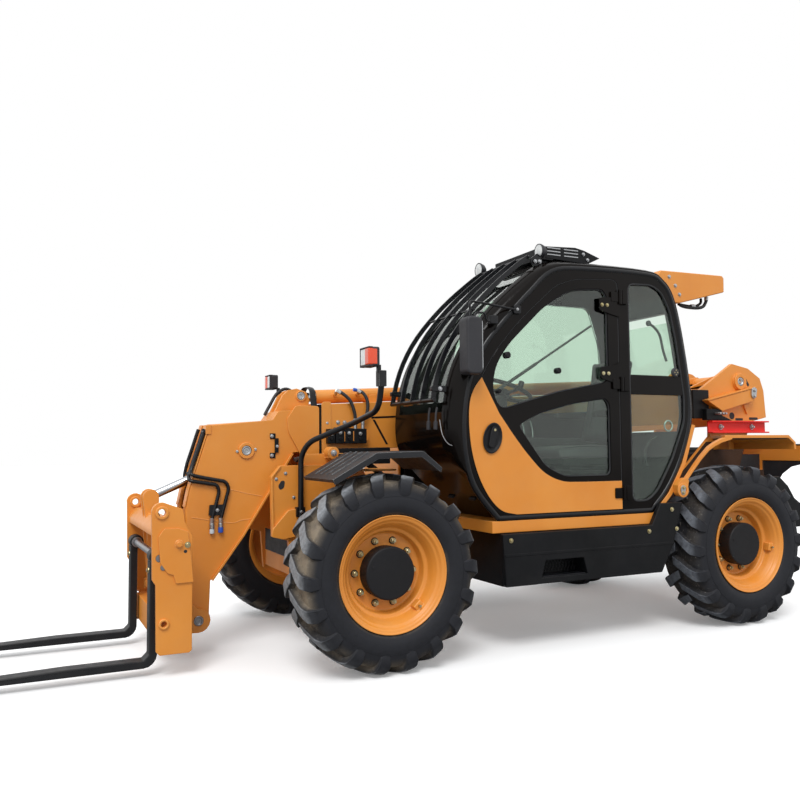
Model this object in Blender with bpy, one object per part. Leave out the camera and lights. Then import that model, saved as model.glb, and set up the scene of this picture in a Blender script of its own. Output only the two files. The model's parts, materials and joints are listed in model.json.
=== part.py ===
"""A telescopic handler with pallet forks, standing on its wheels with the boom down.

Machine frame, in metres: +X forward from the front axle, +Y to the machine's left, +Z up from the ground.
The empty "machine" moves that frame so that the world origin is under the middle of the whole machine.
"""

import math

import bmesh
import bpy
from mathutils import Matrix, Vector

for old in list(bpy.data.objects):
    bpy.data.objects.remove(old, do_unlink=True)

# ---- driving sizes -------------------------------------------------------------------------------------
GAP = 0.0003  # between solids that touch
CLEAR = 0.006  # between solids that move past each other
PIN_PLAY = 0.001  # radius that a pin's hole has over the pin

WHEELBASE = 2.85
TRACK_HALF = 0.94  # centreline to a tyre's middle
TYRE_R = 0.575
TYRE_HALF = 0.20
RIM_R = 0.339
RIM_HALF = 0.18
KINGPIN_Y = 0.74
AXLE_Z = TYRE_R

FRAME_Y = 0.30  # inner face of the two long frame plates
FRAME_T = 0.035
FRAME_LOW = 0.46
FRAME_TOP = 0.79
REAR_X = -4.10
FRAME_REAR = -4.04

PIVOT_X = -3.66  # the boom's rear pin
PIVOT_Z = 1.84
BOOM_SLOPE = math.radians(3.0)  # the parked boom falls towards its front
BOOM_HALF = 0.14
BOOM_WALL = 0.014
BOOM_TOP = -0.045  # below the pin, square to the boom
BOOM_HEIGHT = 0.33
BOOM_FRONT = 3.765  # along the boom from its pin
BOOM_BACK = 0.12

DECK_TOP = 0.835
CAB_RIGHT = 0.25
CAB_LEFT = 1.02
CAB_WALL = 0.04
CAB_FLOOR = DECK_TOP + GAP
CAB_SHOULDER = 0.92  # where the front and roof start to round into the left side

PIVOT_CARRIAGE = (0.915, 0.23)
FORK_THICK = 0.045
FORK_WIDTH = 0.10
FORK_Y = 0.42
FORK_FACE = 1.255  # front face of a fork's shank
FORK_TIP = 2.47
FORK_LOW = 0.05

ORIGIN_X = (FORK_TIP + REAR_X) / 2

# ---- materials -----------------------------------------------------------------------------------------
PAINTS = {  # name: (red, green, blue), roughness, metallic
    "orange_paint": ((0.86, 0.42, 0.07), 0.4, 0.0),
    "charcoal_paint": ((0.03, 0.03, 0.035), 0.45, 0.0),
    "red_paint": ((0.75, 0.03, 0.03), 0.4, 0.0),
    "grey_steel": ((0.45, 0.45, 0.46), 0.35, 1.0),
    "cast_grey": ((0.08, 0.08, 0.085), 0.6, 0.4),
    "black_rubber": ((0.02, 0.02, 0.022), 0.85, 0.0),
    "tyre_rubber": ((0.035, 0.035, 0.038), 0.8, 0.0),
    "tinted_glass": ((0.35, 0.5, 0.45), 0.05, 0.0),
    "seat_vinyl": ((0.12, 0.12, 0.12), 0.6, 0.0),
}


def paint(name):
    made = bpy.data.materials.get(name)
    if made:
        return made
    colour, roughness, metallic = PAINTS[name]
    made = bpy.data.materials.new(name)
    made.use_nodes = True
    shader = made.node_tree.nodes["Principled BSDF"]
    shader.inputs["Base Color"].default_value = (*colour, 1.0)
    shader.inputs["Roughness"].default_value = roughness
    shader.inputs["Metallic"].default_value = metallic
    return made


# ---- bodies: an empty on each joint's axis -------------------------------------------------------------
def boom_at(along, up):
    """Machine (x, z) of a point given along the boom from its pin, and square to it."""
    c, s = math.cos(BOOM_SLOPE), math.sin(BOOM_SLOPE)
    return PIVOT_X + along * c + up * s, PIVOT_Z - along * s + up * c


LIFT_BASE = (-3.42, 0.80)
LIFT_EYE = (-1.75, 1.29)
TILT_BASE = (0.02, 1.50)
TILT_EYE = (1.19, 1.00)
DOOR_HINGE = (-1.765, 1.036)
COVER_HINGE = (-0.385, 1.388)  # (y, z) of the engine cover's hinge line
COVER_X = (-2.08, -0.74)

EMPTIES = {}


def empty(name, x, y, z, parent=None):
    made = bpy.data.objects.new(name, None)
    made.empty_display_size = 0.1
    bpy.context.scene.collection.objects.link(made)
    EMPTIES[name] = (made, Vector((x, y, z)))
    if parent:
        holder, at = EMPTIES[parent]
        made.parent = holder
        made.location = Vector((x, y, z)) - at
    return made


empty("machine", 0, 0, 0).location = (-ORIGIN_X, 0, 0)
empty("boom_lift", PIVOT_X, 0, PIVOT_Z, "machine")
empty("boom_extend", PIVOT_X, 0, PIVOT_Z, "boom_lift")
empty("carriage_tilt", PIVOT_CARRIAGE[0], 0, PIVOT_CARRIAGE[1], "boom_extend")
empty("lift_swing", LIFT_BASE[0], 0, LIFT_BASE[1], "machine")
empty("tilt_swing", TILT_BASE[0], 0, TILT_BASE[1], "boom_extend")
empty("cab_door", DOOR_HINGE[0], DOOR_HINGE[1], 1.6, "machine")
empty("engine_lid", sum(COVER_X) / 2, *COVER_HINGE, "machine")
WHEELS = {  # corner: (axle x, side)
    "front_left": (0.0, 1),
    "front_right": (0.0, -1),
    "rear_left": (-WHEELBASE, 1),
    "rear_right": (-WHEELBASE, -1),
}
for corner, (axle_x, side) in WHEELS.items():
    empty(f"{corner}_kingpin", axle_x, side * KINGPIN_Y, AXLE_Z, "machine")
    empty(f"{corner}_hub", axle_x, side * TRACK_HALF, AXLE_Z, f"{corner}_kingpin")


# ---- shapes: every function returns a closed bmesh in the machine frame --------------------------------
def finish(bm):
    bmesh.ops.recalc_face_normals(bm, faces=bm.faces)
    return bm


def prism(outline, low, high, along="y"):
    """A plate or block: an outline in the plane square to an axis, carried from low to high along it."""
    bm = bmesh.new()
    order = {"x": (2, 0, 1), "y": (0, 2, 1), "z": (0, 1, 2)}[along]  # places of x, y and z in (a, b, level)
    face = bm.faces.new([bm.verts.new([(a, b, low)[k] for k in order]) for a, b in outline])
    raised = bmesh.ops.extrude_face_region(bm, geom=[face])["geom"]
    moved = [v for v in raised if isinstance(v, bmesh.types.BMVert)]
    bmesh.ops.translate(bm, verts=moved, vec=[(0, 0, high - low)[k] for k in order])
    return finish(bm)


def block(x, y, z):
    """A box from three (low, high) pairs."""
    return prism([(x[0], z[0]), (x[1], z[0]), (x[1], z[1]), (x[0], z[1])], *y)


def rod(start, end, radius, sides=16, turn=0.5):
    """A round bar between two points. turn, in sides, spins its corners about it."""
    start, end = Vector(start), Vector(end)
    along = end - start
    bm = bmesh.new()
    bmesh.ops.create_cone(
        bm, cap_ends=True, segments=sides, radius1=radius, radius2=radius, depth=along.length
    )
    spin = Matrix.Rotation(turn * 2 * math.pi / sides, 4, "Z")
    aim = along.to_track_quat("Z", "Y").to_matrix().to_4x4()
    bmesh.ops.transform(bm, matrix=Matrix.Translation((start + end) / 2) @ aim @ spin, verts=bm.verts)
    return finish(bm)


def cross_rod(x, z, radius, y_low, y_high, sides=16):
    return rod((x, y_low, z), (x, y_high, z), radius, sides)


def turned(profile, centre, side=1, steps=32):
    """A ring or disc turned about the axle line: profile is (outboard, radius) pairs, side mirrors it."""
    bm = bmesh.new()
    ring = [bm.verts.new((0, side * out, radius)) for out, radius in profile]
    edges = [bm.edges.new(pair) for pair in zip(ring, ring[1:] + ring[:1])]
    on_axis = any(radius == 0 for _, radius in profile)
    if on_axis:
        bm.edges.remove(edges.pop())
    bmesh.ops.spin(
        bm, geom=ring + edges, cent=(0, 0, 0), axis=(0, 1, 0), steps=steps, angle=2 * math.pi
    )
    bmesh.ops.remove_doubles(bm, verts=bm.verts, dist=1e-5)
    bmesh.ops.translate(bm, verts=bm.verts, vec=centre)
    return finish(bm)


def rounded_path(points, radius, steps=4):
    """The points of a path with each inner corner turned into an arc-like bend."""
    points = [Vector(p) for p in points]
    path = [points[0]]
    for before, corner, after in zip(points, points[1:], points[2:]):
        reach = min(radius, (before - corner).length / 2.1, (after - corner).length / 2.1)
        a = corner + (before - corner).normalized() * reach
        b = corner + (after - corner).normalized() * reach
        for i in range(steps + 1):
            t = i / steps
            path.append(a * (1 - t) ** 2 + corner * 2 * t * (1 - t) + b * t * t)
    path.append(points[-1])
    return path


def pipe(points, radius, bend=0.06, sides=10):
    """A bent pipe swept along a rounded path."""
    path = rounded_path(points, bend)
    bm = bmesh.new()
    up = Vector((0, 0, 1))
    rings = []
    tangent = (path[1] - path[0]).normalized()
    normal = tangent.cross(up if abs(tangent.z) < 0.9 else Vector((1, 0, 0))).normalized()
    for i, point in enumerate(path):
        ahead = (path[min(i + 1, len(path) - 1)] - point).normalized() if i + 1 < len(path) else tangent
        behind = (point - path[i - 1]).normalized() if i else ahead
        new_tangent = (ahead + behind).normalized()
        normal = tangent.rotation_difference(new_tangent) @ normal
        tangent = new_tangent
        other = tangent.cross(normal)
        rings.append(
            [
                bm.verts.new(point + radius * (math.cos(a) * normal + math.sin(a) * other))
                for a in (2 * math.pi * k / sides for k in range(sides))
            ]
        )
    for low, high in zip(rings, rings[1:]):
        for k in range(sides):
            bm.faces.new((low[k], low[(k + 1) % sides], high[(k + 1) % sides], high[k]))
    bm.faces.new(rings[0])
    bm.faces.new(rings[-1])
    return finish(bm)


def loft(sections):
    """A solid through (y, outline) sections whose outlines have equal numbers of (x, z) points."""
    bm = bmesh.new()
    rings = [[bm.verts.new((x, y, z)) for x, z in outline] for y, outline in sections]
    count = len(rings[0])
    for low, high in zip(rings, rings[1:]):
        for k in range(count):
            bm.faces.new((low[k], low[(k + 1) % count], high[(k + 1) % count], high[k]))
    bm.faces.new(rings[0])
    bm.faces.new(rings[-1])
    return finish(bm)


def inset(outline, depth):
    """The outline moved inwards by depth (outwards if it is negative), corner by corner."""
    area = sum(a[0] * b[1] - b[0] * a[1] for a, b in zip(outline, outline[1:] + outline[:1]))
    turn = 1 if area > 0 else -1
    moved = []
    for before, here, after in zip(outline[-1:] + outline[:-1], outline, outline[1:] + outline[:1]):
        into = Vector((here[0] - before[0], here[1] - before[1])).normalized()
        out = Vector((after[0] - here[0], after[1] - here[1])).normalized()
        n_in = Vector((-into.y, into.x)) * turn
        n_out = Vector((-out.y, out.x)) * turn
        mitre = (n_in + n_out).normalized()
        moved.append(tuple(Vector(here) + mitre * depth / max(mitre.dot(n_in), 0.3)))
    return moved


def arc(centre, radius, start, end, steps):
    """(x, z) points on an arc, angles in degrees from +X towards +Z."""
    return [
        (
            centre[0] + radius * math.cos(math.radians(start + (end - start) * i / steps)),
            centre[1] + radius * math.sin(math.radians(start + (end - start) * i / steps)),
        )
        for i in range(steps + 1)
    ]


# ---- nodes ---------------------------------------------------------------------------------------------
def to_object(name, bm, body):
    holder, at = EMPTIES[body]
    bmesh.ops.translate(bm, verts=bm.verts, vec=-at)
    mesh = bpy.data.meshes.new(name)
    bm.to_mesh(mesh)
    bm.free()
    made = bpy.data.objects.new(name, mesh)
    made.parent = holder
    bpy.context.scene.collection.objects.link(made)
    return made


def node(name, body, colour, solids, cuts=(), added=(), smooth=35):
    """One sub-part: its solids joined, less its cuts, plus what is added after. Its origin is its joint."""
    made = to_object(name, solids[0], body)
    steps = [("UNION", s) for s in solids[1:]] + [("DIFFERENCE", c) for c in cuts]
    steps += [("UNION", s) for s in added]
    for i, (operation, bm) in enumerate(steps):
        helper = to_object(f"{name}.{operation.lower()}.{i}", bm, body)
        helper.hide_render = True
        helper.display_type = "WIRE"
        modifier = made.modifiers.new(f"{operation.lower()} {i}", "BOOLEAN")
        modifier.operation = operation
        modifier.solver = "EXACT"
        modifier.object = helper
    made.data.materials.append(paint(colour))
    made.data.shade_smooth()
    made.data.set_sharp_from_angle(angle=math.radians(smooth))
    return made


def pane(name, body, layer, window):
    """A curved glass: the part of a wall's layer that a window holds."""
    made = to_object(name, layer, body)
    helper = to_object(f"{name}.window", window, body)
    helper.hide_render = True
    helper.display_type = "WIRE"
    modifier = made.modifiers.new("trim to the window", "BOOLEAN")
    modifier.operation = "INTERSECT"
    modifier.solver = "EXACT"
    modifier.object = helper
    made.data.materials.append(paint("tinted_glass"))
    return made


def hose(name, body, route, radius, per_span=5):
    """A hose along a smooth curve through its route's points."""
    holder, at = EMPTIES[body]
    ends = [2 * Vector(route[0]) - Vector(route[1])], [2 * Vector(route[-1]) - Vector(route[-2])]
    points = ends[0] + [Vector(p) for p in route] + ends[1]
    path = []
    for a, b, c, d in zip(points, points[1:], points[2:], points[3:]):
        for i in range(per_span):
            t = i / per_span
            path.append(
                0.5
                * (
                    2 * b
                    + (c - a) * t
                    + (2 * a - 5 * b + 4 * c - d) * t**2
                    + (3 * b - a - 3 * c + d) * t**3
                )
            )
    path.append(points[-2])
    data = bpy.data.curves.new(name, "CURVE")
    data.dimensions = "3D"
    data.bevel_depth = radius
    data.bevel_resolution = 2
    data.use_fill_caps = True
    spline = data.splines.new("POLY")
    spline.points.add(len(path) - 1)
    for point, at_path in zip(spline.points, path):
        point.co = (*(at_path - at), 1)
    made = bpy.data.objects.new(name, data)
    made.parent = holder
    bpy.context.scene.collection.objects.link(made)
    data.materials.append(paint("black_rubber"))
    return made


# ---- chassis -------------------------------------------------------------------------------------------
AXLE_NOTCH_HALF = 0.22
AXLE_NOTCH_TOP = 0.73
REAR_BEAM_X = -3.92  # front face of the beam across the tail
FRAME_SIDE = [  # (x, z) of one long frame plate, from its front foot round to its tail
    (0.36, FRAME_LOW),
    (0.381, 0.712),
    (0.488, 0.74),
    (0.498, 1.12),
    (0.44, 1.19),
    (-0.12, 1.19),
    (-0.34, FRAME_TOP),
    (-2.48, FRAME_TOP),
    (-2.80, 0.94),
    (-3.03, 1.12),
    (-3.31, 1.37),
    (-3.32, 1.515),
    (-3.358, 1.579),
    (-3.255, 1.66),
    (-3.205, 1.757),
    (-3.591, 1.993),
    (-3.781, 1.959),
    (-3.923, 1.877),
    (-3.965, 1.768),
    (-3.986, 1.535),
    (-3.79, 1.495),
    (-3.63, 1.08),
    (REAR_BEAM_X, 1.08),
    (REAR_BEAM_X, 1.29),
    (FRAME_REAR, 1.29),
    (FRAME_REAR, FRAME_LOW),
    (-WHEELBASE - AXLE_NOTCH_HALF, FRAME_LOW),
    (-WHEELBASE - AXLE_NOTCH_HALF, AXLE_NOTCH_TOP),
    (-WHEELBASE + AXLE_NOTCH_HALF, AXLE_NOTCH_TOP),
    (-WHEELBASE + AXLE_NOTCH_HALF, FRAME_LOW),
    (-AXLE_NOTCH_HALF, FRAME_LOW),
    (-AXLE_NOTCH_HALF, AXLE_NOTCH_TOP),
    (AXLE_NOTCH_HALF, AXLE_NOTCH_TOP),
    (AXLE_NOTCH_HALF, FRAME_LOW),
]
CROSS_MEMBERS = [  # (x low, x high, z low, z high) of the beams between the plates
    (0.27, 0.35, FRAME_LOW + 0.02, 0.74),
    (-0.56, -0.40, FRAME_LOW + 0.02, 0.72),
    (-1.56, -1.44, FRAME_LOW + 0.02, 0.72),
    (-2.40, -2.26, FRAME_LOW + 0.02, 0.72),
    (-3.36, -3.20, FRAME_LOW + 0.02, 0.68),
    (FRAME_REAR, FRAME_REAR + 0.04, FRAME_LOW + 0.02, 1.06),
]
PIVOT_PIN_R = 0.035
LIFT_PIN_R = 0.03
frame_outer = FRAME_Y + FRAME_T


def chassis():
    solids = [prism(FRAME_SIDE, side * FRAME_Y, side * frame_outer) for side in (1, -1)]
    inside = FRAME_Y + 0.01
    solids += [block((x0, x1), (-inside, inside), (z0, z1)) for x0, x1, z0, z1 in CROSS_MEMBERS]
    solids.append(cross_rod(PIVOT_X, PIVOT_Z, PIVOT_PIN_R, -frame_outer - 0.02, frame_outer + 0.02, 24))
    solids += [
        cross_rod(PIVOT_X, PIVOT_Z, 0.075, side * (frame_outer - 0.01), side * (frame_outer + 0.015), 20)
        for side in (1, -1)
    ]
    # the outboard box that holds the second pin's end, on the left
    rail = [(-3.23, 1.662), (-3.79, 1.787), (-3.77, 1.676), (-3.39, 1.582)]
    solids.append(prism(rail, frame_outer - 0.01, frame_outer + 0.07))
    # the beam across the tail, longer on the left
    solids.append(block((FRAME_REAR, REAR_BEAM_X), (-FRAME_Y - 0.01, 0.72), (1.16, 1.29)))
    cuts = [
        cross_rod(LIFT_BASE[0], LIFT_BASE[1], LIFT_PIN_R + PIN_PLAY, -1, 1, 16),
        cross_rod(-3.57, 1.545, 0.025, FRAME_Y - 0.02, frame_outer + 0.02, 12),
    ]
    node("chassis_frame", "machine", "orange_paint", solids, cuts)


def cab_deck():
    """The outrigger under the cab, and the plate that rises behind the cab's rear corner."""
    edge = inset(CAB_SIDE, -0.0125)[-4:]
    solids = [
        block((-2.08, -0.72), (frame_outer + GAP, CAB_LEFT), (FRAME_TOP - 0.03, DECK_TOP)),
        prism(edge + inset(CAB_SIDE, -0.045)[-1:-5:-1], CAB_LEFT - 0.03, CAB_LEFT),
    ]
    node("cab_deck", "machine", "orange_paint", solids)


def side_tank():
    """The black tank under the cab, whose outer plate reaches back beside the rear wheel."""
    plate = [
        (-0.79, 0.43), (-0.77, 0.755), (-1.98, 0.755), (-2.06, 0.90), (-2.26, 0.90),
        (-2.17, 0.62), (-2.06, 0.43),
    ]
    solids = [
        prism(plate, 1.025, 1.06),
        block((-1.98, -0.78), (0.50, 1.03), (0.43, FRAME_TOP - 0.03 - GAP)),
    ]
    step = [(-1.06, 0.47), (-1.42, 0.47), (-1.39, 0.575), (-1.09, 0.575)]
    node("side_tank", "machine", "charcoal_paint", solids, [prism(step, 0.93, 1.10)])


LUG_AT = (-2.258, 0.985)  # where the rear fender's rib is pinned beside the cab


def fenders():
    front = [
        (0.371, 1.125), (0.10, 1.272), (-0.20, 1.28), (-0.325, 1.18),
        (-0.31, 1.16), (-0.19, 1.255), (0.093, 1.248), (0.362, 1.106),
    ]
    for name, side in (("left", 1), ("right", -1)):
        y = (side * 0.60, side * 1.10)
        arm = (side * (frame_outer + GAP), side * 0.62)
        node(
            f"front_fender_{name}", "machine", "charcoal_paint",
            [prism(front, *y), block((-0.08, 0.06), sorted(arm), (1.185, 1.262))],
        )
    arm = (-3.40, -3.34), (1.26, 1.355)
    edge = [(-2.30, 1.07), (-2.381, 1.155), (-2.449, 1.223), (-2.528, 1.289), (-2.588, 1.32),
            (-2.653, 1.345), (-2.76, 1.37)]
    flap = [(-3.345, 1.37), (-3.42, 1.316), (-3.425, 1.262), (-3.407, 1.262), (-3.402, 1.307),
            (-3.335, 1.352)]
    top = [(-2.68, 1.07), (-3.35, 1.07), (-3.35, 0.45), (-3.20, 0.45), (-2.70, 1.00)]
    lug = [(-2.30, 1.07), (-2.318, 1.05), *arc(LUG_AT, 0.045, 190, 340, 6), (-2.213, 1.02), (-2.25, 1.06)]
    rib = edge + [(x + 0.008, z - 0.03) for x, z in edge[::-1]]
    node(
        "rear_fender_left", "machine", "orange_paint",
        [
            prism(top, 1.348, 1.37, "z"),
            prism(flap, 0.45, 1.07),
            prism(rib, 1.035, 1.07),
            prism(lug, CAB_LEFT + GAP, 1.07),
            block(arm[0], (frame_outer + GAP, 0.50), arm[1]),
        ],
    )
    arch = [
        (-2.365, 1.10), (-2.385, 1.14), (-2.49, 1.27), (-2.64, 1.36), (-3.345, 1.37), (-3.42, 1.316),
        (-3.425, 1.262), (-3.407, 1.262), (-3.402, 1.307), (-3.335, 1.348), (-2.645, 1.335),
        (-2.51, 1.255), (-2.41, 1.13), (-2.39, 1.09),
    ]
    node(
        "rear_fender_right", "machine", "orange_paint",
        [prism(arch, -1.07, -0.45), block(arm[0], (-0.50, -frame_outer - GAP), arm[1])],
    )


def counterweight():
    outline = [
        (-3.59, 0.62), (-4.04, 0.62), (REAR_X, 0.66), (REAR_X, 0.80), (-3.92, 0.80), (-3.83, 0.86),
        (-3.76, 0.96), (-3.66, 1.04), (-3.59, 1.04),
    ]
    hollow = block((FRAME_REAR - GAP, -3.5), (-frame_outer - GAP, frame_outer + GAP), (0.3, 1.5))
    node("counterweight", "machine", "charcoal_paint", [prism(outline, -0.72, 0.72)], [hollow])


def safety_strut():
    """The red channel that props the raised boom, carried on the rear frame."""
    solids = [block((-3.92, -3.25), (0.36, 0.42), (1.397, 1.50))]
    cuts = [block((-4, -3), (0.375, 0.5), (1.409, 1.488))]
    for x in (-3.42, -3.72):
        solids.append(block((x - 0.03, x + 0.03), (frame_outer + GAP, 0.37), (1.42, 1.47)))
    node("safety_strut", "machine", "red_paint", solids, cuts)


# ---- axles and wheels ----------------------------------------------------------------------------------
ARM_GAP = 0.128  # axle line to a yoke arm's inner face
ARM_T = 0.035
KINGPIN_R = 0.03


def axle(name, x):
    solids = [cross_rod(x, AXLE_Z, 0.10, -0.66, 0.66, 16)]
    solids.append(cross_rod(x, AXLE_Z, 0.19, -0.17, 0.17, 20))
    solids.append(rod((x - 0.30, 0, AXLE_Z), (x + 0.25, 0, AXLE_Z), 0.09, 12))
    cuts = []
    for side in (1, -1):
        pad = sorted((side * 0.27, side * 0.37))
        solids.append(block((x - 0.12, x + 0.12), pad, (AXLE_Z, AXLE_NOTCH_TOP - GAP)))
        web = sorted((side * 0.635, side * 0.675))
        reach = ARM_GAP + ARM_T
        solids.append(block((x - 0.09, x + 0.09), web, (AXLE_Z - reach, AXLE_Z + reach)))
        for z in (AXLE_Z + ARM_GAP, AXLE_Z - ARM_GAP - ARM_T):
            arm = sorted((side * 0.66, side * 0.80))
            solids.append(block((x - 0.06, x + 0.06), arm, (z, z + ARM_T)))
        top = AXLE_Z + reach + 0.1
        low = AXLE_Z - reach - 0.1
        at = side * KINGPIN_Y
        cuts.append(rod((x, at, low), (x, at, AXLE_Z - 0.1), KINGPIN_R + PIN_PLAY, 16))
        cuts.append(rod((x, at, AXLE_Z + 0.1), (x, at, top), KINGPIN_R + PIN_PLAY, 16))
    node(name, "machine", "cast_grey", solids, cuts)


def knuckle(corner, x, side):
    at = side * KINGPIN_Y
    reach = ARM_GAP + ARM_T
    solids = [
        rod((x, at, AXLE_Z - ARM_GAP + CLEAR), (x, at, AXLE_Z + ARM_GAP - CLEAR), 0.055, 16),
        rod((x, at, AXLE_Z - reach), (x, at, AXLE_Z + reach), KINGPIN_R, 16),
        block((x - 0.06, x + 0.06), sorted((at, side * 0.84)), (AXLE_Z - 0.10, AXLE_Z + 0.10)),
        cross_rod(x, AXLE_Z, 0.115, *sorted((side * 0.82, side * (TRACK_HALF - 0.02 - GAP))), 20),
    ]
    node(f"{corner}_knuckle", f"{corner}_kingpin", "cast_grey", solids)


WHEEL_STEPS = 32
SEAT_R = RIM_R - 0.024  # the rim's bead seat, that the tyre sits on
HUB_R = 0.138
HUB_FACE = 0.116
DISC_FACE = 0.045
DISC_BACK = 0.02
RIM = [  # (outboard of the wheel's middle, radius)
    (HUB_FACE, 0.0), (HUB_FACE, HUB_R), (DISC_FACE, HUB_R), (DISC_FACE, RIM_R - 0.066),
    (RIM_HALF - 0.015, SEAT_R - 0.01), (RIM_HALF, RIM_R), (RIM_HALF - 0.015, RIM_R),
    (RIM_HALF - 0.02, SEAT_R), (0.02 - RIM_HALF, SEAT_R), (0.015 - RIM_HALF, RIM_R), (-RIM_HALF, RIM_R),
    (0.015 - RIM_HALF, SEAT_R - 0.016), (DISC_BACK, RIM_R - 0.05), (DISC_BACK, 0.12), (-0.02, 0.12),
    (-0.02, 0.0),
]
BEAD_OUT = RIM_HALF - 0.025
TYRE = [
    (BEAD_OUT, SEAT_R + GAP), (BEAD_OUT + 0.001, RIM_R + 0.0025), (TYRE_HALF - 0.01, RIM_R + 0.0025),
    (TYRE_HALF, 0.44), (TYRE_HALF - 0.014, 0.54), (TYRE_HALF - 0.08, TYRE_R), (0.08 - TYRE_HALF, TYRE_R),
    (0.014 - TYRE_HALF, 0.54), (-TYRE_HALF, 0.44), (0.01 - TYRE_HALF, RIM_R + 0.0025),
    (-BEAD_OUT - 0.001, RIM_R + 0.0025), (-BEAD_OUT, SEAT_R + GAP),
]


def wheel(corner, x, side):
    centre = (x, side * TRACK_HALF, AXLE_Z)
    node(f"{corner}_rim", f"{corner}_hub", "orange_paint", [turned(RIM, centre, side, WHEEL_STEPS)])
    node(f"{corner}_tyre", f"{corner}_hub", "tyre_rubber", [turned(TYRE, centre, side, WHEEL_STEPS)])


# ---- engine side ---------------------------------------------------------------------------------------
def engine():
    inner = -frame_outer - GAP
    tray = [
        block((-2.04, -0.78), (-1.00, inner), (0.50, 0.53)),
        block((-2.04, -2.01), (-1.00, inner), (0.52, 0.80)),
        block((-0.81, -0.78), (-1.00, inner), (0.52, 0.80)),
        block((-2.04, -0.78), (inner - 0.03, inner), (0.52, COVER_HINGE[1] - 0.02)),
        block((-1.99, -0.83), (-0.40, inner - 0.02), (1.34, COVER_HINGE[1] - 0.012 - GAP)),
    ]
    node("engine_tray", "machine", "charcoal_paint", tray)
    node(
        "engine_block", "machine", "cast_grey",
        [block((-1.90, -0.98), (-0.92, -0.44), (0.53 + GAP, 1.22))],
    )
    skin = 0.02
    outline = [(-1.06, 0.55), (-1.06, 1.20), (-0.96, 1.38), (COVER_HINGE[0] + 0.009, 1.40),
               (COVER_HINGE[0] + 0.009, 0.55)]
    inner_outline = [(-1.06 + skin, 0.3), (-1.06 + skin, 1.195), (-0.95, 1.362), (-0.2, 1.3895),
                     (-0.2, 0.3)]

    node(
        "engine_cover", "engine_lid", "orange_paint",
        [prism(outline, *COVER_X, "x")],
        [prism(inner_outline, COVER_X[0] + skin, COVER_X[1] - skin, "x")],
        [rod((-1.95, *COVER_HINGE), (-0.87, *COVER_HINGE), 0.012, 12)],
    )


# ---- cab -----------------------------------------------------------------------------------------------
# (x, z) outlines from the front foot over the roof to the rear foot: the body, and its left side
CAB_BODY = [
    (-0.86, CAB_FLOOR), (-0.64, 1.05), (-0.46, 1.25), (-0.42, 1.45), (-0.46, 1.72), (-0.57, 1.96),
    (-0.75, 2.18), (-0.97, 2.38), (-1.18, 2.52), (-1.45, 2.55), (-2.04, 2.55), (-2.20, 2.50),
    (-2.30, 2.38), (-2.37, 2.12), (-2.44, 1.70), (-2.44, 1.45), (-2.33, 1.17), (-2.20, 0.96),
    (-2.05, CAB_FLOOR),
]
CAB_SIDE = [
    (-0.76, CAB_FLOOR), (-0.60, 1.02), (-0.53, 1.20), (-0.51, 1.45), (-0.55, 1.70), (-0.65, 1.92),
    (-0.82, 2.12), (-1.02, 2.32), (-1.20, 2.47), (-1.45, 2.51), (-2.02, 2.52), (-2.17, 2.47),
    (-2.26, 2.36), (-2.33, 2.12), (-2.40, 1.70), (-2.40, 1.45), (-2.30, 1.18), (-2.17, 0.98),
    (-2.02, CAB_FLOOR),
]
DOOR = [
    (-0.66, 1.74), (-0.61, 1.60), (-0.60, 1.45), (-0.63, 1.25), (-0.73, 0.97), (-0.80, 0.895),
    (-0.88, 0.875), (-1.755, 0.875), (-1.755, 2.44), (-1.40, 2.415), (-1.24, 2.36), (-0.94, 2.10),
    (-0.76, 1.90),
]
DOOR_UPPER = [
    (-0.79, 1.53), (-0.73, 1.66), (-0.76, 1.82), (-0.86, 1.96), (-1.14, 2.22), (-1.36, 2.345),
    (-1.62, 2.37), (-1.665, 2.32), (-1.665, 1.73), (-1.25, 1.655),
]
DOOR_LOWER = [
    (-0.92, 1.44), (-1.09, 1.52), (-1.35, 1.585), (-1.63, 1.625), (-1.67, 1.58), (-1.67, 1.10),
    (-1.28, 1.10), (-1.13, 1.17),
]
QUARTER = [
    (-1.85, 2.42), (-2.06, 2.43), (-2.15, 2.39), (-2.23, 2.26), (-2.28, 2.05), (-2.345, 1.64),
    (-2.34, 1.46), (-2.22, 1.20), (-2.08, 0.99), (-1.99, 0.92), (-1.85, 0.92),
]
RIGHT_WINDOW = [(-0.80, 1.55), (-0.90, 2.05), (-1.20, 2.38), (-2.10, 2.38), (-2.20, 2.10), (-2.24, 1.55)]
HINGE_Z = (2.32, 1.72, 0.98)
SCREEN_Y = (CAB_RIGHT + 0.06, CAB_SHOULDER)
SCREEN = [(-0.20, 1.52), (-0.70, 1.52), (-0.85, 1.90), (-1.20, 2.30), (-1.20, 2.70), (-0.20, 2.70)]
REAR_Y = (CAB_RIGHT + 0.09, CAB_SHOULDER - 0.02)
REAR_WINDOW = [(-2.25, 1.40), (-2.60, 1.40), (-2.60, 2.26), (-2.25, 2.26)]


def shrunk(outline):
    return inset(outline, GAP)


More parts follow.
